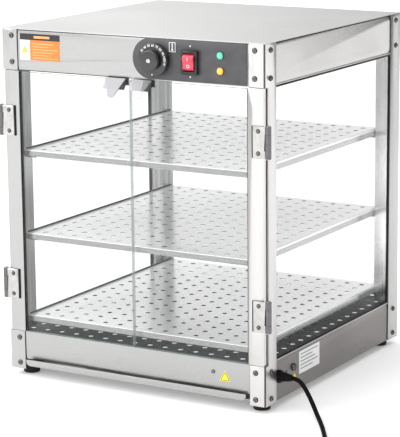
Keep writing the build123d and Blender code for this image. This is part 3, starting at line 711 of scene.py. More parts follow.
class Bench:
    """Modelling steps that every sub-assembly uses."""

    @staticmethod
    def clear_selection() -> None:
        """Leave nothing selected or active."""
        bpy.ops.object.select_all(action="DESELECT")
        bpy.context.view_layer.objects.active = None

    @staticmethod
    def take(piece: bpy.types.Object) -> None:
        """Select one piece and make it active.

        Args:
            piece: The piece.
        """
        Bench.clear_selection()
        piece.select_set(True)
        bpy.context.view_layer.objects.active = piece

    @staticmethod
    def named(name: str) -> bpy.types.Object:
        """Give the active piece its name.

        Args:
            name: The name.

        Returns:
            The piece.
        """
        piece = bpy.context.active_object
        piece.name = name
        piece.data.name = name
        return piece

    @staticmethod
    def settle(piece: bpy.types.Object) -> bpy.types.Object:
        """Put a piece's place, turn and size into its mesh.

        Args:
            piece: The piece.

        Returns:
            The same piece.
        """
        Bench.take(piece)
        bpy.ops.object.transform_apply(location=True, rotation=True, scale=True)
        return piece

    @staticmethod
    def slab(name: str, low: Point, high: Point) -> bpy.types.Object:
        """A block between two corners, ready to be shaped.

        Args:
            name: The piece's name.
            low: Its lowest corner.
            high: Its highest corner.

        Returns:
            The piece.
        """
        Bench.clear_selection()
        middle = [(a + b) / 2 for a, b in zip(low, high)]
        bpy.ops.mesh.primitive_cube_add(size=1.0, location=middle)
        piece = Bench.named(name)
        piece.scale = [b - a for a, b in zip(low, high)]
        return Bench.settle(piece)

    @staticmethod
    def disc(name: str, centre: Point, facing: Axis, radius: float, length: float,
             sides: int = 64) -> bpy.types.Object:
        """A round blank whose axis points along a direction.

        Args:
            name: The piece's name.
            centre: Its middle.
            facing: The direction of its axis.
            radius: Its radius.
            length: Its length.
            sides: Its number of sides.

        Returns:
            The piece.
        """
        Bench.clear_selection()
        turn = Vector(Axis.UP.value).rotation_difference(Vector(facing.value)).to_euler()
        bpy.ops.mesh.primitive_cylinder_add(
            vertices=sides, radius=radius, depth=length, location=centre, rotation=turn
        )
        return Bench.settle(Bench.named(name))

    @staticmethod
    def round_edges(piece: bpy.types.Object, width: float, segments: int = 2,
                    least: float = 0.0, sharp: float = 40.0) -> bpy.types.Object:
        """Bevel a piece's sharp edges and smooth it.

        Args:
            piece: The piece.
            width: The bevel's width.
            segments: The bevel's steps.
            least: Edges shorter than this stay sharp.
            sharp: The least angle, in degrees, of an edge that counts as sharp.

        Returns:
            The piece.
        """
        mesh = piece.data
        label = "bevel_weight_edge"
        weights = mesh.attributes.get(label) or mesh.attributes.new(label, "FLOAT", "EDGE")
        faces_at: dict[tuple[int, int], list[Vector]] = {}
        for polygon in mesh.polygons:
            for key in polygon.edge_keys:
                faces_at.setdefault(key, []).append(polygon.normal)
        for index, edge in enumerate(mesh.edges):
            normals = faces_at.get(tuple(sorted(edge.vertices)), [])
            a, b = (mesh.vertices[i].co for i in edge.vertices)
            is_sharp = len(normals) == 2 and normals[0].angle(normals[1], 0.0) > math.radians(sharp)
            weights.data[index].value = 1.0 if is_sharp and (a - b).length >= least else 0.0
        bevel = piece.modifiers.new("edges", "BEVEL")
        bevel.width = width
        bevel.segments = segments
        bevel.limit_method = "WEIGHT"
        bevel.use_clamp_overlap = False
        Bench.take(piece)
        bpy.ops.object.modifier_apply(modifier=bevel.name)
        bpy.ops.object.shade_smooth_by_angle(angle=SMOOTH_ANGLE)
        return piece

    @staticmethod
    def copy_of(node: str, name: str) -> bpy.types.Object:
        """A merged copy of a frame node's mesh, ready for finer shaping.

        Args:
            node: The node to copy.
            name: The new piece's name.

        Returns:
            The piece.
        """
        source = bpy.data.objects[node]
        piece = bpy.data.objects.new(name, source.data.copy())
        bpy.context.scene.collection.objects.link(piece)
        Bench.take(piece)
        piece.data.materials.clear()
        bpy.ops.object.mode_set(mode="EDIT")
        bpy.ops.mesh.select_all(action="SELECT")
        bpy.ops.mesh.remove_doubles(threshold=1e-6)
        bpy.ops.mesh.dissolve_limited(angle_limit=math.radians(1.0))
        bpy.ops.object.mode_set(mode="OBJECT")
        return piece

    @staticmethod
    def blocks(name: str, corners: Iterable[tuple[Point, Point]],
               width: float = 0.0) -> bpy.types.Object:
        """Blocks joined into one piece.

        Args:
            name: The piece's name.
            corners: Each block's lowest and highest corner.
            width: The bevel on their edges, if any.

        Returns:
            The piece.
        """
        pieces = [Bench.slab(name, low, high) for low, high in corners]
        if width:
            for piece in pieces:
                Bench.round_edges(piece, width)
        return Bench.join(pieces, name)

    @staticmethod
    def join(pieces: Sequence[bpy.types.Object], name: str) -> bpy.types.Object:
        """Join several meshes into one piece.

        Args:
            pieces: The meshes.
            name: The joined piece's name.

        Returns:
            The piece.
        """
        Bench.clear_selection()
        for piece in pieces:
            piece.select_set(True)
        bpy.context.view_layer.objects.active = pieces[0]
        bpy.ops.object.join()
        return Bench.named(name)

    @staticmethod
    def cut(piece: bpy.types.Object, cutters: Iterable[bpy.types.Object]) -> bpy.types.Object:
        """Cut pieces away and delete the cutters.

        Args:
            piece: The piece to cut.
            cutters: What is cut away.

        Returns:
            The same piece.
        """
        for cutter in cutters:
            boolean = piece.modifiers.new("cut", "BOOLEAN")
            boolean.operation = "DIFFERENCE"
            boolean.solver = "EXACT"
            boolean.object = cutter
            Bench.take(piece)
            bpy.ops.object.modifier_apply(modifier=boolean.name)
            bpy.data.objects.remove(cutter)
        return piece

    @staticmethod
    def paint(piece: bpy.types.Object, material: bpy.types.Material) -> bpy.types.Object:
        """Give a whole piece one finish.

        Args:
            piece: The piece.
            material: Its finish.

        Returns:
            The same piece.
        """
        if piece.material_slots:
            for slot in piece.material_slots:
                slot.material = material
        else:
            piece.data.materials.append(material)
        return piece

    @staticmethod
    def paint_two(piece: bpy.types.Object, first: bpy.types.Material, second: bpy.types.Material,
                  is_second: Callable[[Any], bool]) -> bpy.types.Object:
        """Give a piece two finishes.

        Args:
            piece: The piece.
            first: The finish of most faces.
            second: The finish of the others.
            is_second: Tells whether a face has the second finish.

        Returns:
            The piece.
        """
        piece.data.materials.append(first)
        piece.data.materials.append(second)
        for polygon in piece.data.polygons:
            polygon.material_index = int(is_second(polygon))
        return piece

    @staticmethod
    def fit(piece: bpy.types.Object, body: str, slot: str, *nodes: str,
            finish: bpy.types.Material | None = None) -> bpy.types.Object:
        """Set a finished piece on its body, in place of its nodes.

        Args:
            piece: The piece.
            body: The body that carries it.
            slot: The record's material slot; not used.
            *nodes: The nodes that it stands for.
            finish: Its finish, where it has one and isn't painted yet.

        Returns:
            The piece.
        """
        if finish:
            Bench.paint(piece, finish)
        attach(piece, body)
        if nodes:
            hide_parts(*nodes)
        log.info("%s rides on %s", piece.name, body)
        return piece

    @staticmethod
    def rounded(node: str, name: str, bevel: tuple[float, float], body: str, slot: str,
                finish: bpy.types.Material) -> bpy.types.Object:
        """A copy of a frame node with rounded edges, set in the node's place.

        Args:
            node: The node to copy.
            name: The new piece's name.
            bevel: The bevel's width, and the length under which edges stay sharp.
            body: The body that carries it.
            slot: The record's material slot.
            finish: Its finish.

        Returns:
            The piece.
        """
        width, least = bevel
        piece = Bench.round_edges(Bench.copy_of(node, name), width, least=least)
        return Bench.fit(piece, body, slot, node, finish=finish)


@dataclass
class Studio:
    """The camera at the photograph's angle, a pale floor and soft light."""

    camera_place: Point = (1.76566, -3.04372 + CASE_MIDDLE_Y, 1.00426)
    camera_right: Point = (0.86390689, 0.50357338, -0.00887291)
    camera_up: Point = (-0.09724915, 0.18406994, 0.97809041)
    lens: float = 166.66
    floor_size: float = 60.0
    floor_tone: float = 0.9
    wall_light: float = 0.95
    dim_light: float = 0.04
    dim_side: float = math.radians(22.0)
    dim_reach: float = 0.05
    sun_light: float = 1.9
    sun_spread: float = math.radians(95.0)
    sun_way: Point = (0.45, 0.5, -1.0)
    key_place: Point = (-2.4, -3.4, 2.2)
    key_aim: Point = (0.0, 0.0, 0.3)
    key_size: float = 1.8
    key_power: float = 40.0

    def add_camera(self) -> None:
        """Set up the camera."""
        data = bpy.data.cameras.new("camera")
        data.lens = self.lens
        data.sensor_width = 36.0
        data.sensor_fit = "AUTO"
        data.clip_end = 100.0
        right, up = Vector(self.camera_right), Vector(self.camera_up)
        back = right.cross(up)
        turn = Matrix((right, up, back)).transposed().to_4x4()
        camera = bpy.data.objects.new("camera", data)
        camera.matrix_world = Matrix.Translation(self.camera_place) @ turn
        bpy.context.scene.collection.objects.link(camera)
        bpy.context.scene.camera = camera

    def add_floor(self) -> None:
        """Lay the floor."""
        Bench.clear_selection()
        bpy.ops.mesh.primitive_plane_add(size=self.floor_size, location=(0, 0, -0.0004))
        floor = Bench.settle(Bench.named("studio_floor"))
        recipe = Recipe("floor paper")
        paper = recipe.noise(recipe.place(), (40.0, 40.0, 40.0), 2.0)
        low, high = (self.floor_tone,) * 3, (self.floor_tone + 0.02,) * 3
        colour = recipe.ramp(paper, [(0.3, low), (0.7, high)])
        material = recipe.surface(
            Base_Color=colour, Roughness=0.9, Emission_Color=(1.0, 1.0, 1.0), Emission_Strength=0.2
        )
        Bench.paint(floor, material)

    def add_light(self) -> None:
        """Add the soft lights and the pale surroundings."""
        scene = bpy.context.scene
        scene.world = Sky("pale studio").make(
            self.dim_side, self.dim_reach, self.wall_light, self.dim_light)
        scene.view_settings.view_transform = "Standard"
        overhead = bpy.data.lights.new("overhead", "SUN")
        overhead.energy = self.sun_light
        overhead.angle = self.sun_spread
        self._place_light(overhead, (0.0, 0.0, 0.0), Vector(self.sun_way))
        key = bpy.data.lights.new("key", "AREA")
        key.size = self.key_size
        key.energy = self.key_power
        self._place_light(key, self.key_place, Vector(self.key_aim) - Vector(self.key_place))

    @staticmethod
    def _place_light(data: bpy.types.Light, place: Point, way: Vector) -> None:
        """Hang one light.

        Args:
            data: The light.
            place: Where it hangs.
            way: The way in which it shines.
        """
        lamp = bpy.data.objects.new(data.name, data)
        lamp.location = place
        lamp.rotation_euler = way.to_track_quat("-Z", "Y").to_euler()
        bpy.context.scene.collection.objects.link(lamp)


@dataclass
class SupplyCord:
    """The supply lead: out of the gland, across the table and into its coil."""

    finishes: Finishes
    diameter: float = 0.0075
    route_mm: tuple[Point, ...] = (
        (276.0, -204.5, 53.0),
        (289.0, -204.5, 53.0),
        (303.0, -206.5, 38.0),
        (316.0, -211.0, 21.0),
        (330.0, -223.0, 8.0),
        (346.0, -243.0, 3.75),
        (369.0, -277.0, 3.75),
        (394.0, -318.0, 3.75),
        (420.0, -362.0, 3.75),
        (444.0, -403.0, 3.75),
    )
    coil_radius: float = 0.047
    coil_gap: float = 0.002
    half_turns_in: int = 3
    half_turns_out: int = 4
    steps: int = 9
    length: float = 1.314
    plug_nose: float = 0.0662
    gland_ends: tuple[float, float] = (0.2575, 0.2745)
    gland_radii: tuple[float, float] = (0.0080, 0.0052)
    gland_ribs: int = 6

    def route(self) -> list[Vector]:
        """The listed points, in metres."""
        return [Vector((x, y + CASE_MIDDLE_Y / MM, z)) * MM for x, y, z in self.route_mm]

    def coil(self, route: list[Vector]) -> list[Vector]:
        """The wound length's points: in below, up a layer in a half turn, out above.

        Args:
            route: The free stretch's points.

        Returns:
            Points along the turns, with the straight end that meets the plug.
        """
        ahead = (route[-1] - route[-2]).normalized()
        left = Vector((-ahead.y, ahead.x, 0.0))
        step = (self.diameter + self.coil_gap) / 2
        entry = route[-1] + ahead * self.diameter
        centre = entry + left * self.coil_radius
        radii = [self.coil_radius - step * turn for turn in range(self.half_turns_in + 1)]
        levels = [0.0] * len(radii)
        radii += [radii[-1] + step * turn for turn in range(self.half_turns_out + 1)]
        levels += [2 * step] * (self.half_turns_out + 1)
        points = []
        for turn in range(len(radii) - 1):
            shift = (radii[turn] - radii[turn + 1]) / 2 * (1 if turn % 2 == 0 else -1)
            middle = centre - left * shift
            radius = (radii[turn] + radii[turn + 1]) / 2
            for index in range(self.steps):
                part = index / self.steps
                angle = math.pi * (turn + part)
                arm = -left * math.cos(angle) + ahead * math.sin(angle)
                rise = levels[turn] + (levels[turn + 1] - levels[turn]) * part
                points.append(middle + arm * radius + Vector((0, 0, rise)))
        last = centre - left * radii[-1] + Vector((0, 0, levels[-1]))
        return points + [last, last + ahead * self.diameter]

    def build(self) -> None:
        route = self.route()
        points = route + self.coil(route)
        data = bpy.data.curves.new("supply_cord", "CURVE")
        data.dimensions = "3D"
        data.bevel_depth = self.diameter / 2
        data.bevel_resolution = 5
        data.resolution_u = 6
        data.use_fill_caps = True
        spline = data.splines.new("NURBS")
        spline.points.add(len(points) - 1)
        for target, point in zip(spline.points, points):
            target.co = (*point, 1.0)
        spline.order_u = 3
        spline.use_endpoint_u = True
        cord = bpy.data.objects.new("supply_cord", data)
        bpy.context.scene.collection.objects.link(cord)
        data.materials.append(self.finishes.cord)
        Bench.fit(cord, "case", "black_cord", "power_cord", "cord_coil")
        plug = self.plug(points[-1], (points[-1] - points[-2]).normalized())
        gland = self.gland()

    def plug(self, seat: Vector, ahead: Vector) -> bpy.types.Object:
        """The moulded plug, with bright pins.

        Args:
            seat: Where the cord enters it.
            ahead: The way in which it points.

        Returns:
            The piece.
        """
        plug = Bench.copy_of("plug", "moulded_plug")
        Bench.round_edges(plug, 0.0009, 3, 0.004)
        Bench.paint_two(plug, self.finishes.rubber, self.finishes.chrome,
                        lambda polygon: (polygon.center - seat).dot(ahead) > self.plug_nose)
        return Bench.fit(plug, "case", "black_cord", "plug")

    def gland(self) -> bpy.types.Object:
        """The strain relief with its ribs.

        Returns:
            The piece.
        """
        gland = Bench.copy_of("cable_gland", "cable_gland_ribbed")
        Bench.round_edges(gland, 0.0006, 2, 0.0005)
        pieces = [gland]
        (start, end), (wide, narrow) = self.gland_ends, self.gland_radii
        centre = self.route()[0]
        for index in range(self.gland_ribs):
            part = index / (self.gland_ribs - 1)
            Bench.clear_selection()
            bpy.ops.mesh.primitive_torus_add(
                location=(start + (end - start) * part, centre.y, centre.z),
                rotation=(0, math.pi / 2, 0),
                major_radius=wide + (narrow - wide) * part,
                minor_radius=0.0008,
                major_segments=32,
                minor_segments=8,
            )
            bpy.ops.object.shade_smooth()
            pieces.append(Bench.settle(bpy.context.active_object))
        gland = Bench.join(pieces, "cable_gland_ribbed")
        Bench.paint(gland, self.finishes.gland)
        return Bench.fit(gland, "case", "black_plastic", "cable_gland")


@dataclass
class Cabinet:
    """The folded sheet frame, its panels, shelves and fixed glass."""

    finishes: Finishes
    post_fold: float = 0.0009
    panel_fold: float = 0.0003
    least_fold: float = 0.012
    hem_sides: tuple[float, float] = (0.2505, 0.2532)
    hem_half: float = 0.0014
    hem_end: float = 0.0382
    seal_sides: tuple[float, float] = (0.2495, 0.2528)
    seal_end: float = 0.0384
    rear_seal: float = 0.0044
    seal_top: float = HEADER_BOTTOM - 0.0046
    seal_bottom: float = BASE_TOP + 0.0028
    seam_bottom: float = 0.6064
    seam_width: float = 0.0008
    foot_places: tuple[float, float] = (0.231, 0.225)
    foot_size: tuple[float, float] = (0.0145, 0.020)

    def build(self) -> None:
        """Round the folds of the frame and finish all that is fixed."""
        finish = self.finishes
        ends, hands = ("front", "rear"), ("left", "right")
        folded = [(f"post_{end}_{hand}", finish.steel_z) for end in ends for hand in hands]
        folded += [(f"{rail}_{end}", finish.steel_x) for end in ends for rail in ("header", "base")]
        folded += [(f"header_{hand}", finish.steel_y) for hand in hands]
        folded += [(f"base_{hand}", finish.steel_base) for hand in hands]
        folded.append(("roof_panel", finish.roof))
        for node, material in folded:
            width = self.post_fold if node.startswith("post") else self.panel_fold
            Bench.rounded(node, node + "_folded", (width, self.least_fold), "case",
                          "stainless_sheet", material)
        plain = (
            (finish.steel_x, ("ceiling_panel", "base_floor")),
            (finish.shelf, ("shelf_upper", "shelf_middle", "shelf_lower")),
            (finish.screw, ("shelf_pins", "element_hangers")),
            (finish.deck, ("deck_plate",)),
            (finish.glass, ("glass_left", "glass_right", "glass_rear")),
            (finish.black, ("door_catches", "thermostat_body")),
            (finish.hinge, ("heating_element",)),
            (finish.ceramic, ("terminal_block",)),
        )
        for material, nodes in plain:
            for node in nodes:
                Bench.paint(bpy.data.objects[node], material)
        self.add_hems()
        self.add_seals()
        self.add_front_seams()
        self.add_shelf_hems()
        self.add_reflector()
        self.add_tray()
        self.add_feet()

    def add_hems(self) -> None:
        """Rolled hems along the side panels' inner edges."""
        y0, y1 = FRONT + self.hem_end, BACK - self.hem_end
        for sign, hand in HANDS:
            x0, x1 = sorted(sign * x for x in self.hem_sides)
            for name, level in (("base", BASE_TOP), ("header", HEADER_BOTTOM)):
                hem = Bench.slab(f"{name}_{hand}_hem", (x0, y0, level - self.hem_half),
                                 (x1, y1, level + self.hem_half))
                Bench.round_edges(hem, 0.0011, 4)
                Bench.fit(hem, "case", "stainless_sheet", finish=self.finishes.steel_y)

    def add_seals(self) -> None:
        """Black strips where the side panes meet the frame, partly glazing strip and partly painted
        shadow, and dark strips as painted shadow in the seams around the side panels.
        """
        low, high = BASE_TOP, HEADER_BOTTOM
        y0, y1 = FRONT + self.seal_end, BACK - self.seal_end
        for sign, hand in HANDS:
            x0, x1 = sorted(sign * x for x in self.seal_sides)
            spans = [
                (y0, y1, self.seal_top, high - self.hem_half),
                (y0, y1, low + self.hem_half, self.seal_bottom),
                (y1 - self.rear_seal, y1, self.seal_bottom, self.seal_top),
                # A dark strip under the roof edge as painted shadow in the seam.
                (y0, y1, self.seam_bottom, ROOF_SEAM),
            ]
            # Upright dark strips beside the side panels: painted shadow in the gaps.
            for near, far in ((y0, y0 + self.seam_width), (y1 - self.seam_width, y1)):
                spans.append((near, far, 0.014, low - 0.0016))
                spans.append((near, far, high + 0.0016, self.seam_bottom))
            corners = [((x0, near, z0), (x1, far, z1)) for near, far, z0, z1 in spans]
            strips_and_seam_shade = Bench.blocks(f"side_strips_and_seam_shade_{hand}", corners, 0.0005)
            Bench.fit(strips_and_seam_shade, "case", "black_rubber", finish=self.finishes.rubber)

    def add_front_seams(self) -> None:
        """Thin dark strips as painted shadow in the seams around the front header and beside the base.
        """
        edge, width = SIDE - 0.0300, 0.0009
        top, bottom = 0.6070, 0.5398
        front, back = PANEL_FRONT - 0.0006, PANEL_FRONT + 0.0002
        spans = [(-edge, edge, top, ROOF_SEAM), (-edge, 0.006, bottom - 0.0010, bottom)]
        for sign, _ in HANDS:
            x0, x1 = sorted((sign * edge, sign * (edge - width)))
            spans += [(x0, x1, 0.0315, 0.0803), (x0, x1, bottom, top)]
        corners = [((x0, front, z0), (x1, back, z1)) for x0, x1, z0, z1 in spans]
        seam_shadow = Bench.blocks("front_seam_shadows", corners, 0.0002)
        Bench.fit(seam_shadow, "case", "black_rubber", finish=self.finishes.rubber)

    def add_shelf_hems(self) -> None:
        """The low upturned hem along both sides of each shelf, its inner faces painted dark as shade.
        """
        for shelf in ("upper", "middle", "lower"):
            low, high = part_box(f"shelf_{shelf}")
            corners = []
            for sign, edge in ((-1, low[0]), (1, high[0])):
                x0, x1 = sorted((edge, edge - sign * 0.0012))
                corners.append(((x0, low[1] + 0.001, high[2] - 0.0002),
                                (x1, high[1] - 0.001, high[2] + 0.0032)))
            hems = Bench.blocks(f"shelf_{shelf}_hems", corners, 0.0004)
            Bench.paint_two(hems, self.finishes.shelf, self.finishes.inner_hem, lambda polygon:
                            polygon.normal.x * math.copysign(1, polygon.center.x) < -0.5)
            Bench.fit(hems, "case", "stainless_sheet")

    def add_reflector(self) -> None:
        """A pale sheet with painted glow around the heating space, seen through the deck's outer holes
        so that they look lit from below.
        """
        low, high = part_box("deck_plate")
        top, edge, side = low[2] - 0.0016, 0.004, 0.055
        x0, x1 = low[0] + edge, high[0] - edge
        y0, y1, y2, y3 = low[1] + edge, low[1] + 0.07, low[1] + 0.0701, high[1] - edge
        spans = ((x0, x1, y0, y1), (high[0] - side, x1, y2, y3), (x0, low[0] + side, y2, y3))
        corners = [((left, near, top - 0.0005), (right, far, top)) for left, right, near, far in spans]
        sheet = Bench.blocks("glowing_underlay_strips", corners)
        Bench.fit(sheet, "case", "dark_sheet", finish=self.finishes.reflector)

    def add_tray(self) -> None:
        """The pull-out tray: a shallow pan with a front lip, its lower corners rounded."""
        low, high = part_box("water_tray")
        wall, inset, rise, corner, past = 0.0008, 0.007, 0.0013, 0.008, 0.001
        y0, y1 = low[1] + 0.0015, high[1]
        x0, x1 = low[0] + inset, high[0] - inset
        floor, rim = low[2] + rise, low[2] + rise + 0.008
        sheet = floor + wall
        pan = Bench.blocks("pan", (
            ((x0, y0, floor), (x1, y1, sheet)),
            ((x0, y0, sheet), (x0 + wall, y1, rim)),
            ((x1 - wall, y0, sheet), (x1, y1, rim)),
            ((x0 + wall, y0, sheet), (x1 - wall, y0 + wall, rim)),
            ((x0 + wall, y1 - wall, sheet), (x1 - wall, y1, rim)),
        ))
        lip = Bench.slab("lip", tuple(low), (high[0], y0, high[2]))
        level = low[2] + corner
        for sign, edge in ((-1, low[0]), (1, high[0])):
            centre = edge - sign * corner
            left, right = sorted((edge + sign * past, centre))
            waste = Bench.slab("waste", (left, low[1] - past, low[2] - past),
                               (right, y0 + past, level))
            kept = Bench.disc("kept", (centre, (low[1] + y0) / 2, level), Axis.FRONT, corner, 0.006)
            Bench.cut(lip, [Bench.cut(waste, [kept])])
        Bench.round_edges(lip, 0.0003, 2, 0.0002, 60)
        tray = Bench.join([pan, lip], "water_tray_hemmed")
        Bench.fit(tray, "tray", "stainless_sheet", "water_tray", finish=self.finishes.steel_x)

    def add_feet(self) -> None:
        """Rubber feet with a soft lower rim."""
        across, along = self.foot_places
        radius, height = self.foot_size
        pads = []
        for x in (-across, across):
            for y in (-along, along):
                place = (x, y + CASE_MIDDLE_Y, height / 2)
                pad = Bench.disc("foot", place, Axis.UP, radius, height, 48)
                pads.append(Bench.round_edges(pad, 0.002, 3))
        feet = Bench.join(pads, "rubber_feet")
        Bench.fit(feet, "case", "black_rubber", "feet", finish=self.finishes.rubber)


@dataclass
class Fasteners:
    """Pan-head screws with a cross recess and a black ring under each as painted shadow, copied to
    every place.
    """

    finishes: Finishes
    frame_head: tuple[float, float] = (0.0043, 0.0025)
    hinge_head: tuple[float, float] = (0.0032, 0.0016)
    # Radii of the black rings under the screw heads, painted shadow.
    frame_washer: float = 0.0049
    hinge_washer: float = 0.0039
    heights: tuple[float, ...] = (0.023, 0.0685, 0.553, 0.598)
    inset: float = 0.019
    hinge_x: float = 0.2425
    hinge_pitch: float = 0.036
    sides: int = 24

    def head(self, radius: float, rise: float) -> bpy.types.Object:
        """One screw head at the origin, facing up.

        Args:
            radius: The head's radius.
            rise: How far it stands out.

        Returns:
            The head.
        """
        head = Bench.disc("screw_head", (0, 0, rise / 2), Axis.UP, radius, rise, self.sides)
        Bench.round_edges(head, rise * 0.62, 4)
        cutters = []
        for turn in (0.0, math.pi / 2):
            bar = Bench.slab("recess", (-radius * 0.5, -radius * 0.1, rise * 0.45),
                             (radius * 0.5, radius * 0.1, rise * 1.5))
            bar.rotation_euler = (0, 0, turn)
            cutters.append(Bench.settle(bar))
        return Bench.cut(head, cutters)

    def washer(self, radius: float) -> bpy.types.Object:
        """One thin black ring at the origin, put under a screw head as painted shadow.

        Args:
            radius: The ring's radius.

        Returns:
            The ring.
        """
        height = 0.0004
        washer = Bench.disc("washer", (0, 0, height / 2), Axis.UP, radius, height, self.sides)
        return Bench.round_edges(washer, 0.00015)

    @staticmethod
    def copies(model: bpy.types.Object, seats: Seats, name: str) -> bpy.types.Object:
        """Copies of a model at each seat, joined.

        Args:
            model: The model, which is used up.
            seats: Places and the ways in which they face.
            name: The joined piece's name.

        Returns:
            The piece.
        """
        pieces = []
        for index, (seat, facing) in enumerate(seats):
            copy = bpy.data.objects.new(f"{name}_{index}", model.data.copy())
            bpy.context.scene.collection.objects.link(copy)
            turn = Vector(Axis.UP.value).rotation_difference(Vector(facing.value))
            spin = Matrix.Rotation(0.5 + index * 1.1, 4, "Z")
            copy.data.transform(Matrix.Translation(seat) @ turn.to_matrix().to_4x4() @ spin)
            pieces.append(copy)
        bpy.data.objects.remove(model)
        return Bench.join(pieces, name)

    def build(self) -> None:
        """Place the frame's and the hinges' screws."""
        seats: Seats = []
        for z in self.heights:
            for sign, hand in HANDS:
                x = sign * (SIDE - self.inset)
                seats += [((x, FRONT, z), Axis.FRONT), ((x, BACK, z), Axis.BACK)]
                for y in (FRONT + self.inset, BACK - self.inset):
                    seats.append(((sign * SIDE, y, z), Axis[hand.upper()]))
        head, washer = self.head(*self.frame_head), self.washer(self.frame_washer)
        screws = self.copies(head, seats, "frame_screw_heads")
        Bench.fit(screws, "case", "bright_hardware", "frame_screws", finish=self.finishes.screw)
        # Black rings under the frame screws: painted shadow around each head.
        shadow_rings = self.copies(washer, seats, "frame_screw_shadow_rings")
        Bench.fit(shadow_rings, "case", "black_plastic", finish=self.finishes.black)
        for sign, hand in HANDS:
            offsets = (-self.hinge_pitch / 2, self.hinge_pitch / 2)
            seats = [((sign * self.hinge_x, FRONT - 0.003, level + offset), Axis.FRONT)
                     for level in HINGE_LEVELS for offset in offsets]
            head, washer = self.head(*self.hinge_head), self.washer(self.hinge_washer)
            screws = self.copies(head, seats, f"door_{hand}_hinge_screw_heads")
            Bench.fit(screws, f"{hand}_door", "bright_hardware", f"door_{hand}_hinge_screws",
                      finish=self.finishes.screw)
            # Black rings under the hinge screws: painted shadow around each head.
            shadow_rings = self.copies(washer, seats, f"door_{hand}_hinge_shadow_rings")
            Bench.fit(shadow_rings, f"{hand}_door", "black_plastic", finish=self.finishes.black)


@dataclass
class Doors:
    """Two glass doors with their channels, hinges and handles."""

    finishes: Finishes
    barrel_edge: float = 0.2530
    packing_edge: float = 0.2300
    packing_half: float = 0.0260
    bead_edges: tuple[float, float] = (0.2208, 0.2222)
    bead_levels: tuple[float, float] = (0.0815, 0.5375)

    def build(self) -> None:
        """Build both doors."""
        for sign, hand in HANDS:
            self.add_glass(hand)
            self.add_metal(hand)
            self.add_backing(sign, hand)
            self.add_handle(hand)
        Bench.rounded("hinge_pins", "hinge_pin_set", (0.0003, 0.0002), "case", "bright_hardware",
                      self.finishes.hinge)

    def add_glass(self, hand: str) -> None:
        """One pane with ground edges.

        Args:
            hand: The door's name.
        """
        low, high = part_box(f"door_{hand}_glass")
        pane = Bench.slab(f"door_{hand}_pane", tuple(low), tuple(high))
        Bench.round_edges(pane, 0.0006)
        Bench.paint_two(pane, self.finishes.glass, self.finishes.glass_edge,
                        lambda polygon: abs(polygon.normal.y) <= 0.99)
        Bench.fit(pane, f"{hand}_door", "clear_glass", f"door_{hand}_glass")

    def add_metal(self, hand: str) -> None:
        """The channel and the hinge leaves.

        Args:
            hand: The door's name.
        """
        Bench.rounded(f"door_{hand}_stile", f"door_{hand}_channel", (0.0006, 0.02),
                      f"{hand}_door", "stainless_sheet", self.finishes.steel_z)
        for node, name, body, width in (
            ("hinge_leaves", "hinge_plates", f"{hand}_door", 0.0006),
            ("post_leaves", "post_plates", "case", 0.0),
        ):
            leaves = Bench.copy_of(f"door_{hand}_{node}", f"door_{hand}_{name}")
            if width:
                Bench.round_edges(leaves, width, least=0.003)
            # The barrel end of the leaves is painted darker as reflection.
            Bench.paint_two(leaves, self.finishes.hinge, self.finishes.barrel,
                            lambda polygon: abs(polygon.center.x) > self.barrel_edge)
            Bench.fit(leaves, body, "bright_hardware", f"door_{hand}_{node}")

    def add_backing(self, sign: int, hand: str) -> None:
        """Thin black strips behind both hinge leaves, and the bead along the glass.

        Args:
            sign: The side on which the door hangs.
            hand: Its name.
        """
        x0, x1 = sorted((sign * self.packing_edge, sign * self.barrel_edge))
        corners = [((x0, FRONT - 0.0020, level - self.packing_half),
                    (x1, FRONT - 0.0001, level + self.packing_half)) for level in HINGE_LEVELS]
        leaf_dark_strips = Bench.blocks(f"door_{hand}_hinge_dark_strips", corners, 0.0003)
        Bench.fit(leaf_dark_strips, f"{hand}_door", "black_rubber", finish=self.finishes.rubber)
        x0, x1 = sorted(sign * edge for edge in self.bead_edges)
        z0, z1 = self.bead_levels
        corners = [((x0, FRONT + 0.0002, z0), (x1, FRONT + 0.0078, z1))]
        bead = Bench.blocks(f"door_{hand}_glazing_bead", corners, 0.0004)
        Bench.fit(bead, f"{hand}_door", "black_rubber", finish=self.finishes.rubber)

    def add_handle(self, hand: str) -> None:
        """The clip and its tongue: frosted on the left door and clear on the right.

        Args:
            hand: The door's name.
        """
        body = f"{hand}_door"
        Bench.rounded(f"door_{hand}_clip", f"door_{hand}_handle_clip", (0.0004, 0.002), body,
                      "black_plastic", self.finishes.clip)
        film = self.finishes.frosted if hand == "left" else self.finishes.clear_tongue
        Bench.rounded(f"door_{hand}_tongue", f"door_{hand}_handle_tongue", (0.0005, 0.0006), body,
                      "frosted_plastic", film)


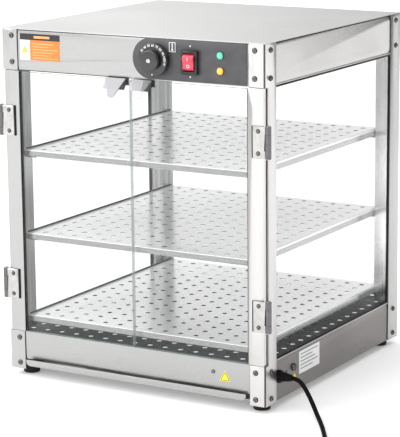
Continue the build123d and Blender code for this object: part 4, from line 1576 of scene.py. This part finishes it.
@dataclass
class Controls:
    """The dark panel with its dial, switch, lamps and printed marks."""

    finishes: Finishes
    knob_x: float = 0.051
    knob_z: float = 0.5735
    skirt_radius: float = 0.0275
    grip_radius: float = 0.0205
    skirt_back: float = CONTROL_FRONT - 0.0005
    skirt_front: float = CONTROL_FRONT - 0.0115
    grip_front: float = CONTROL_FRONT - 0.0265
    dial_numbers: tuple[int, ...] = (30, 40, 50, 60, 70, 80, 90, 100, 110)
    dial_radius: float = 0.0238
    first_angle: float = 142.0
    sweep: float = -150.0
    print_rise: float = 0.00005
    dish: tuple[tuple[float, float], ...] = (
        (0.0022, 0.0), (0.0030, -0.0014), (0.0040, -0.0016), (0.0060, -0.0004))
    cap_size: tuple[float, float] = (0.0034, 0.0016)
    cap_depth: float = 0.0036
    slot_half: float = 0.0006
    slot_reach: float = 0.003
    slot_depths: tuple[float, float] = (0.002, 0.0034)
    lamp_size: tuple[float, float] = (0.006, 0.0036)
    switch_x: float = 0.117
    sign_levels: tuple[float, float] = (0.5785, 0.5665)
    sign_x: tuple[float, float] = (0.0770, 0.0890)
    sign_z: tuple[float, float] = (0.5872, 0.6030)
    sign_line: float = 0.0009
    sign_stem: tuple[float, ...] = (0.0822, 0.0838, 0.5920, 0.6010)
    dots: tuple[tuple[float, float, float, int], ...] = (
        (0.083, 0.5908, 0.0019, 24), (0.1167, 0.5985, 0.0013, 20), (0.1162, 0.5485, 0.0013, 20))

    def build(self) -> None:
        """Build all the controls."""
        Bench.rounded("control_panel", "control_plate", (0.0003, 0.001), "case", "grey_panel",
                      self.finishes.control)
        self.add_skirt()
        self.add_grip()
        self.add_switch()
        self.add_lamps()
        self.add_marks()

    def add_skirt(self) -> None:
        """The scale ring with its numbers."""
        middle = (self.skirt_back + self.skirt_front) / 2
        ring = Bench.disc("dial_ring", (self.knob_x, middle, self.knob_z), Axis.FRONT,
                          self.skirt_radius, self.skirt_back - self.skirt_front, 96)
        Bench.round_edges(ring, 0.0016, 3)
        Bench.fit(ring, "knob", "black_plastic", "knob_skirt", finish=self.finishes.knob)
        marks = []
        for index, number in enumerate(self.dial_numbers):
            part = self.sweep * index / (len(self.dial_numbers) - 1)
            marks.append(self.number(str(number), math.radians(self.first_angle + part)))
        seat = (self.knob_x, self.skirt_front - self.print_rise, self.knob_z - self.dial_radius)
        marks.append(Bench.disc("dial_index", seat, Axis.FRONT, 0.0011, 0.0002, 20))
        scale = Bench.join(marks, "dial_scale")
        Bench.fit(scale, "knob", "black_plastic", finish=self.finishes.white)

    def number(self, text: str, angle: float) -> bpy.types.Object:
        """One raised number on the dial ring, its foot towards the middle.

        Args:
            text: The number.
            angle: Its place, from the right and counter-clockwise.

        Returns:
            The mesh.
        """
        piece = self.text(text, 0.0054)
        upright = Matrix.Rotation(math.pi / 2, 4, "X")
        spin = Matrix.Rotation(math.pi / 2 - angle, 4, "Y")
        place = (self.knob_x + self.dial_radius * math.cos(angle),
                 self.skirt_front - self.print_rise,
                 self.knob_z + self.dial_radius * math.sin(angle))
        piece.data.transform(Matrix.Translation(place) @ spin @ upright)
        return piece

    @staticmethod
    def text(body: str, size: float) -> bpy.types.Object:
        """Thin raised text as a mesh at the origin.

        Args:
            body: The text.
            size: Its size.

        Returns:
            The mesh.
        """
        Bench.clear_selection()
        bpy.ops.object.text_add(location=(0, 0, 0))
        piece = Bench.named("sign")
        piece.data.body = body
        piece.data.size = size
        piece.data.align_x = "CENTER"
        piece.data.align_y = "CENTER"
        piece.data.extrude = 0.00006
        piece.data.offset = 0.00008
        Bench.take(piece)
        bpy.ops.object.convert(target="MESH")
        return bpy.context.active_object

    def add_grip(self) -> None:
        """The dished grip with its bright middle."""
        length = self.skirt_front - self.grip_front
        middle = (self.skirt_front + self.grip_front) / 2
        grip = Bench.disc("knob_grip_turned", (self.knob_x, middle, self.knob_z), Axis.FRONT,
                          self.grip_radius, length, 96)
        Bench.take(grip)
        front_face = min(grip.data.polygons, key=lambda polygon: polygon.center.y).index
        for polygon in grip.data.polygons:
            polygon.select = polygon.index == front_face
        bpy.ops.object.mode_set(mode="EDIT")
        bpy.ops.mesh.select_mode(type="FACE")
        for inset, depth in self.dish:
            bpy.ops.mesh.inset(thickness=inset, depth=depth)
        bpy.ops.object.mode_set(mode="OBJECT")
        Bench.round_edges(grip, 0.0021, 5, 0.0008, 60)
        Bench.fit(grip, "knob", "black_plastic", "knob_grip", finish=self.finishes.knob)
        cap = Bench.disc("knob_cap", (self.knob_x, self.grip_front + self.cap_depth, self.knob_z),
                         Axis.FRONT, *self.cap_size, 40)
        Bench.round_edges(cap, 0.0005, 3)
        half, reach = self.slot_half, self.slot_reach
        near, far = (self.grip_front + depth for depth in self.slot_depths)
        slot = Bench.slab("slot", (self.knob_x - half, near, self.knob_z - reach),
                          (self.knob_x + half, far, self.knob_z + reach))
        Bench.cut(cap, [slot])
        Bench.fit(cap, "knob", "black_plastic", finish=self.finishes.chrome)

    def add_switch(self) -> None:
        """The rocker and its housing, with I and O on the rocker."""
        size = (0.0005, 0.006)
        Bench.rounded("switch_housing", "switch_collar", size, "case", "black_plastic",
                      self.finishes.black)
        rocker = Bench.rounded("switch_rocker", "switch_paddle", size, "rocker", "red_plastic",
                               self.finishes.red)
        marks = [self.rocker_mark(rocker, text, z) for text, z in zip("IO", self.sign_levels)]
        signs = Bench.join(marks, "switch_signs")
        Bench.fit(signs, "rocker", "red_plastic", finish=self.finishes.white)

    def rocker_mark(self, rocker: bpy.types.Object, text: str, height: float) -> bpy.types.Object:
        """One sign lying on the rocker's face.

        Args:
            rocker: The rocker.
            text: I or O.
            height: Its height.

        Returns:
            The mesh.
        """
        before = Vector((self.switch_x, -0.4, height))
        _, seat, outward, _ = rocker.ray_cast(before, Vector(Axis.BACK.value))
        piece = self.text(text, 0.0075)
        turn = Vector(Axis.UP.value).rotation_difference(outward).to_matrix().to_4x4()
        piece.data.transform(Matrix.Translation(seat + outward * self.print_rise) @ turn)
        return piece

    def add_lamps(self) -> None:
        """The two pilot lamps."""
        radius, height = self.lamp_size
        for colour, z, material in (
            ("green", GREEN_LAMP_Z, self.finishes.green),
            ("orange", ORANGE_LAMP_Z, self.finishes.orange),
        ):
            place = (LAMP_X, CONTROL_FRONT - height / 2, z)
            lens = Bench.disc(f"indicator_{colour}_lens", place, Axis.FRONT, radius, height, 48)
            Bench.round_edges(lens, 0.0021, 5)
            Bench.fit(lens, "case", f"{colour}_lens", f"indicator_{colour}", finish=material)

    def add_marks(self) -> None:
        """A plain thermometer sign and the switch's two dots."""
        front, back = CONTROL_FRONT - 0.00012, CONTROL_FRONT + 0.0001
        (x0, x1), (z0, z1), line = self.sign_x, self.sign_z, self.sign_line
        spans = (
            (x0, x1, z0, z0 + line),
            (x0, x1, z1 - line, z1),
            (x0, x0 + line, z0 + line, z1 - line),
            (x1 - line, x1, z0 + line, z1 - line),
            self.sign_stem,
        )
        frame = [((left, front, low), (right, back, high)) for left, right, low, high in spans]
        pieces = [Bench.blocks("sign", frame)]
        for x, z, radius, sides in self.dots:
            place = (x, (front + back) / 2, z)
            pieces.append(Bench.disc("dot", place, Axis.FRONT, radius, back - front, sides))
        signs = Bench.join(pieces, "panel_signs")
        Bench.fit(signs, "case", "grey_panel", finish=self.finishes.white)


@dataclass
class Labels:
    """Blank labels and the small fittings on the base."""

    finishes: Finishes
    label_x: tuple[float, float] = (-0.2184, -0.1377)
    label_z: tuple[float, float] = (0.5575, 0.6023)
    title: tuple[float, ...] = (-0.1900, -0.1580, 0.5948, 0.5988)
    lines: int = 6
    lines_x: tuple[float, float] = (-0.1930, -0.1425)
    lines_bottom: float = 0.5608
    lines_pitch: float = 0.0048
    line_height: float = 0.0014
    plate_lines: int = 5
    plate_top: float = 0.0705
    plate_pitch: float = 0.0063
    plate_line_height: float = 0.0018
    plate_x: float = SIDE - 0.002
    plate_y: tuple[float, float] = (-0.133 + CASE_MIDDLE_Y, -0.058 + CASE_MIDDLE_Y)
    plate_z: tuple[float, float] = (0.038, 0.077)
    caps_y: tuple[float, float] = (-0.157 + CASE_MIDDLE_Y, -0.1)

    def build(self) -> None:
        """Build the labels and fittings."""
        self.add_front_label()
        self.add_plate()
        self.add_triangles()
        fittings = Bench.copy_of("base_fittings", "base_fittings_rounded")
        near, far = self.caps_y
        Bench.paint_two(fittings, self.finishes.screw, self.finishes.black, lambda polygon:
                        polygon.center.x > 0.25 and near < polygon.center.y < far)
        Bench.take(fittings)
        bpy.ops.object.shade_smooth_by_angle(angle=SMOOTH_ANGLE)
        Bench.fit(fittings, "case", "black_plastic", "base_fittings")

    def add_front_label(self) -> None:
        """The front label, with bars of uneven length for its lines."""
        front = PANEL_FRONT
        (x0, x1), (z0, z1) = self.label_x, self.label_z
        label = Bench.slab("front_label", (x0, front - 0.0003, z0), (x1, front, z1))
        Bench.fit(label, "case", "label_film", "labels", finish=self.finishes.label)
        left, right = self.lines_x
        spans = []
        for row in range(self.lines):
            z = self.lines_bottom + row * self.lines_pitch
            spans.append((left, right - 0.009 * ((row * 2) % 3), z, z + self.line_height))
        spans.append(self.title)
        corners = [((left, front - 0.0004, low), (right, front - 0.0002, high))
                   for left, right, low, high in spans]
        bars = Bench.blocks("front_label_bars", corners)
        Bench.fit(bars, "case", "label_film", finish=self.finishes.pale_orange)

    def add_plate(self) -> None:
        """The rating plate with plain grey bars."""
        x, (y0, y1), (z0, z1) = self.plate_x, self.plate_y, self.plate_z
        plate = Bench.slab("rating_plate", (x, y0, z0), (x + 0.0003, y1, z1))
        Bench.fit(plate, "case", "label_film", finish=self.finishes.plate)
        corners = []
        for row in range(self.plate_lines):
            z = self.plate_top - row * self.plate_pitch
            end = y1 - 0.006 - 0.010 * ((row * 2) % 3)
            corners.append(((x + 0.0002, y0 + 0.005, z),
                            (x + 0.0004, end, z + self.plate_line_height)))
        bars = Bench.blocks("rating_plate_bars", corners)
        Bench.fit(bars, "case", "label_film", finish=self.finishes.grey_print)

    def add_triangles(self) -> None:
        """Three blank yellow triangles with a dark rim."""
        finish = self.finishes
        upright = Matrix.Rotation(math.pi / 2, 4, "X")
        turned = Matrix.Rotation(math.pi / 2, 4, "Z") @ upright
        places = (
            ((0.1766, PANEL_FRONT, 0.052), upright, 0.021),
            ((self.plate_x, -0.150 + CASE_MIDDLE_Y, 0.039), turned, 0.014),
            ((-0.2085, PANEL_FRONT - 0.0002, 0.5735), upright, 0.013),
        )
        layers = ((1.0, 0.0003, finish.yellow), (0.82, 0.00036, finish.dark_print),
                  (0.66, 0.00042, finish.yellow))
        for number, (place, turn, edge) in enumerate(places):
            for level, (share, rise, material) in enumerate(layers):
                piece = Bench.disc(f"triangle_{number}_{level}", (0, 0, rise / 2), Axis.UP,
                                   edge * share / math.sqrt(3), rise, 3)
                piece.data.transform(Matrix.Translation(place) @ turn)
                Bench.fit(piece, "case", "label_film", finish=material)


def main() -> None:
    """Load the frame and dress it."""
    logging.basicConfig(level=logging.INFO, format="%(name)s: %(message)s")
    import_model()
    studio = Studio()
    studio.add_camera()
    finishes = Finishes()
    SupplyCord(finishes).build()
    Cabinet(finishes).build()
    Doors(finishes).build()
    Controls(finishes).build()
    Fasteners(finishes).build()
    Labels(finishes).build()
    studio.add_floor()
    studio.add_light()


if __name__ == "__main__":
    main()
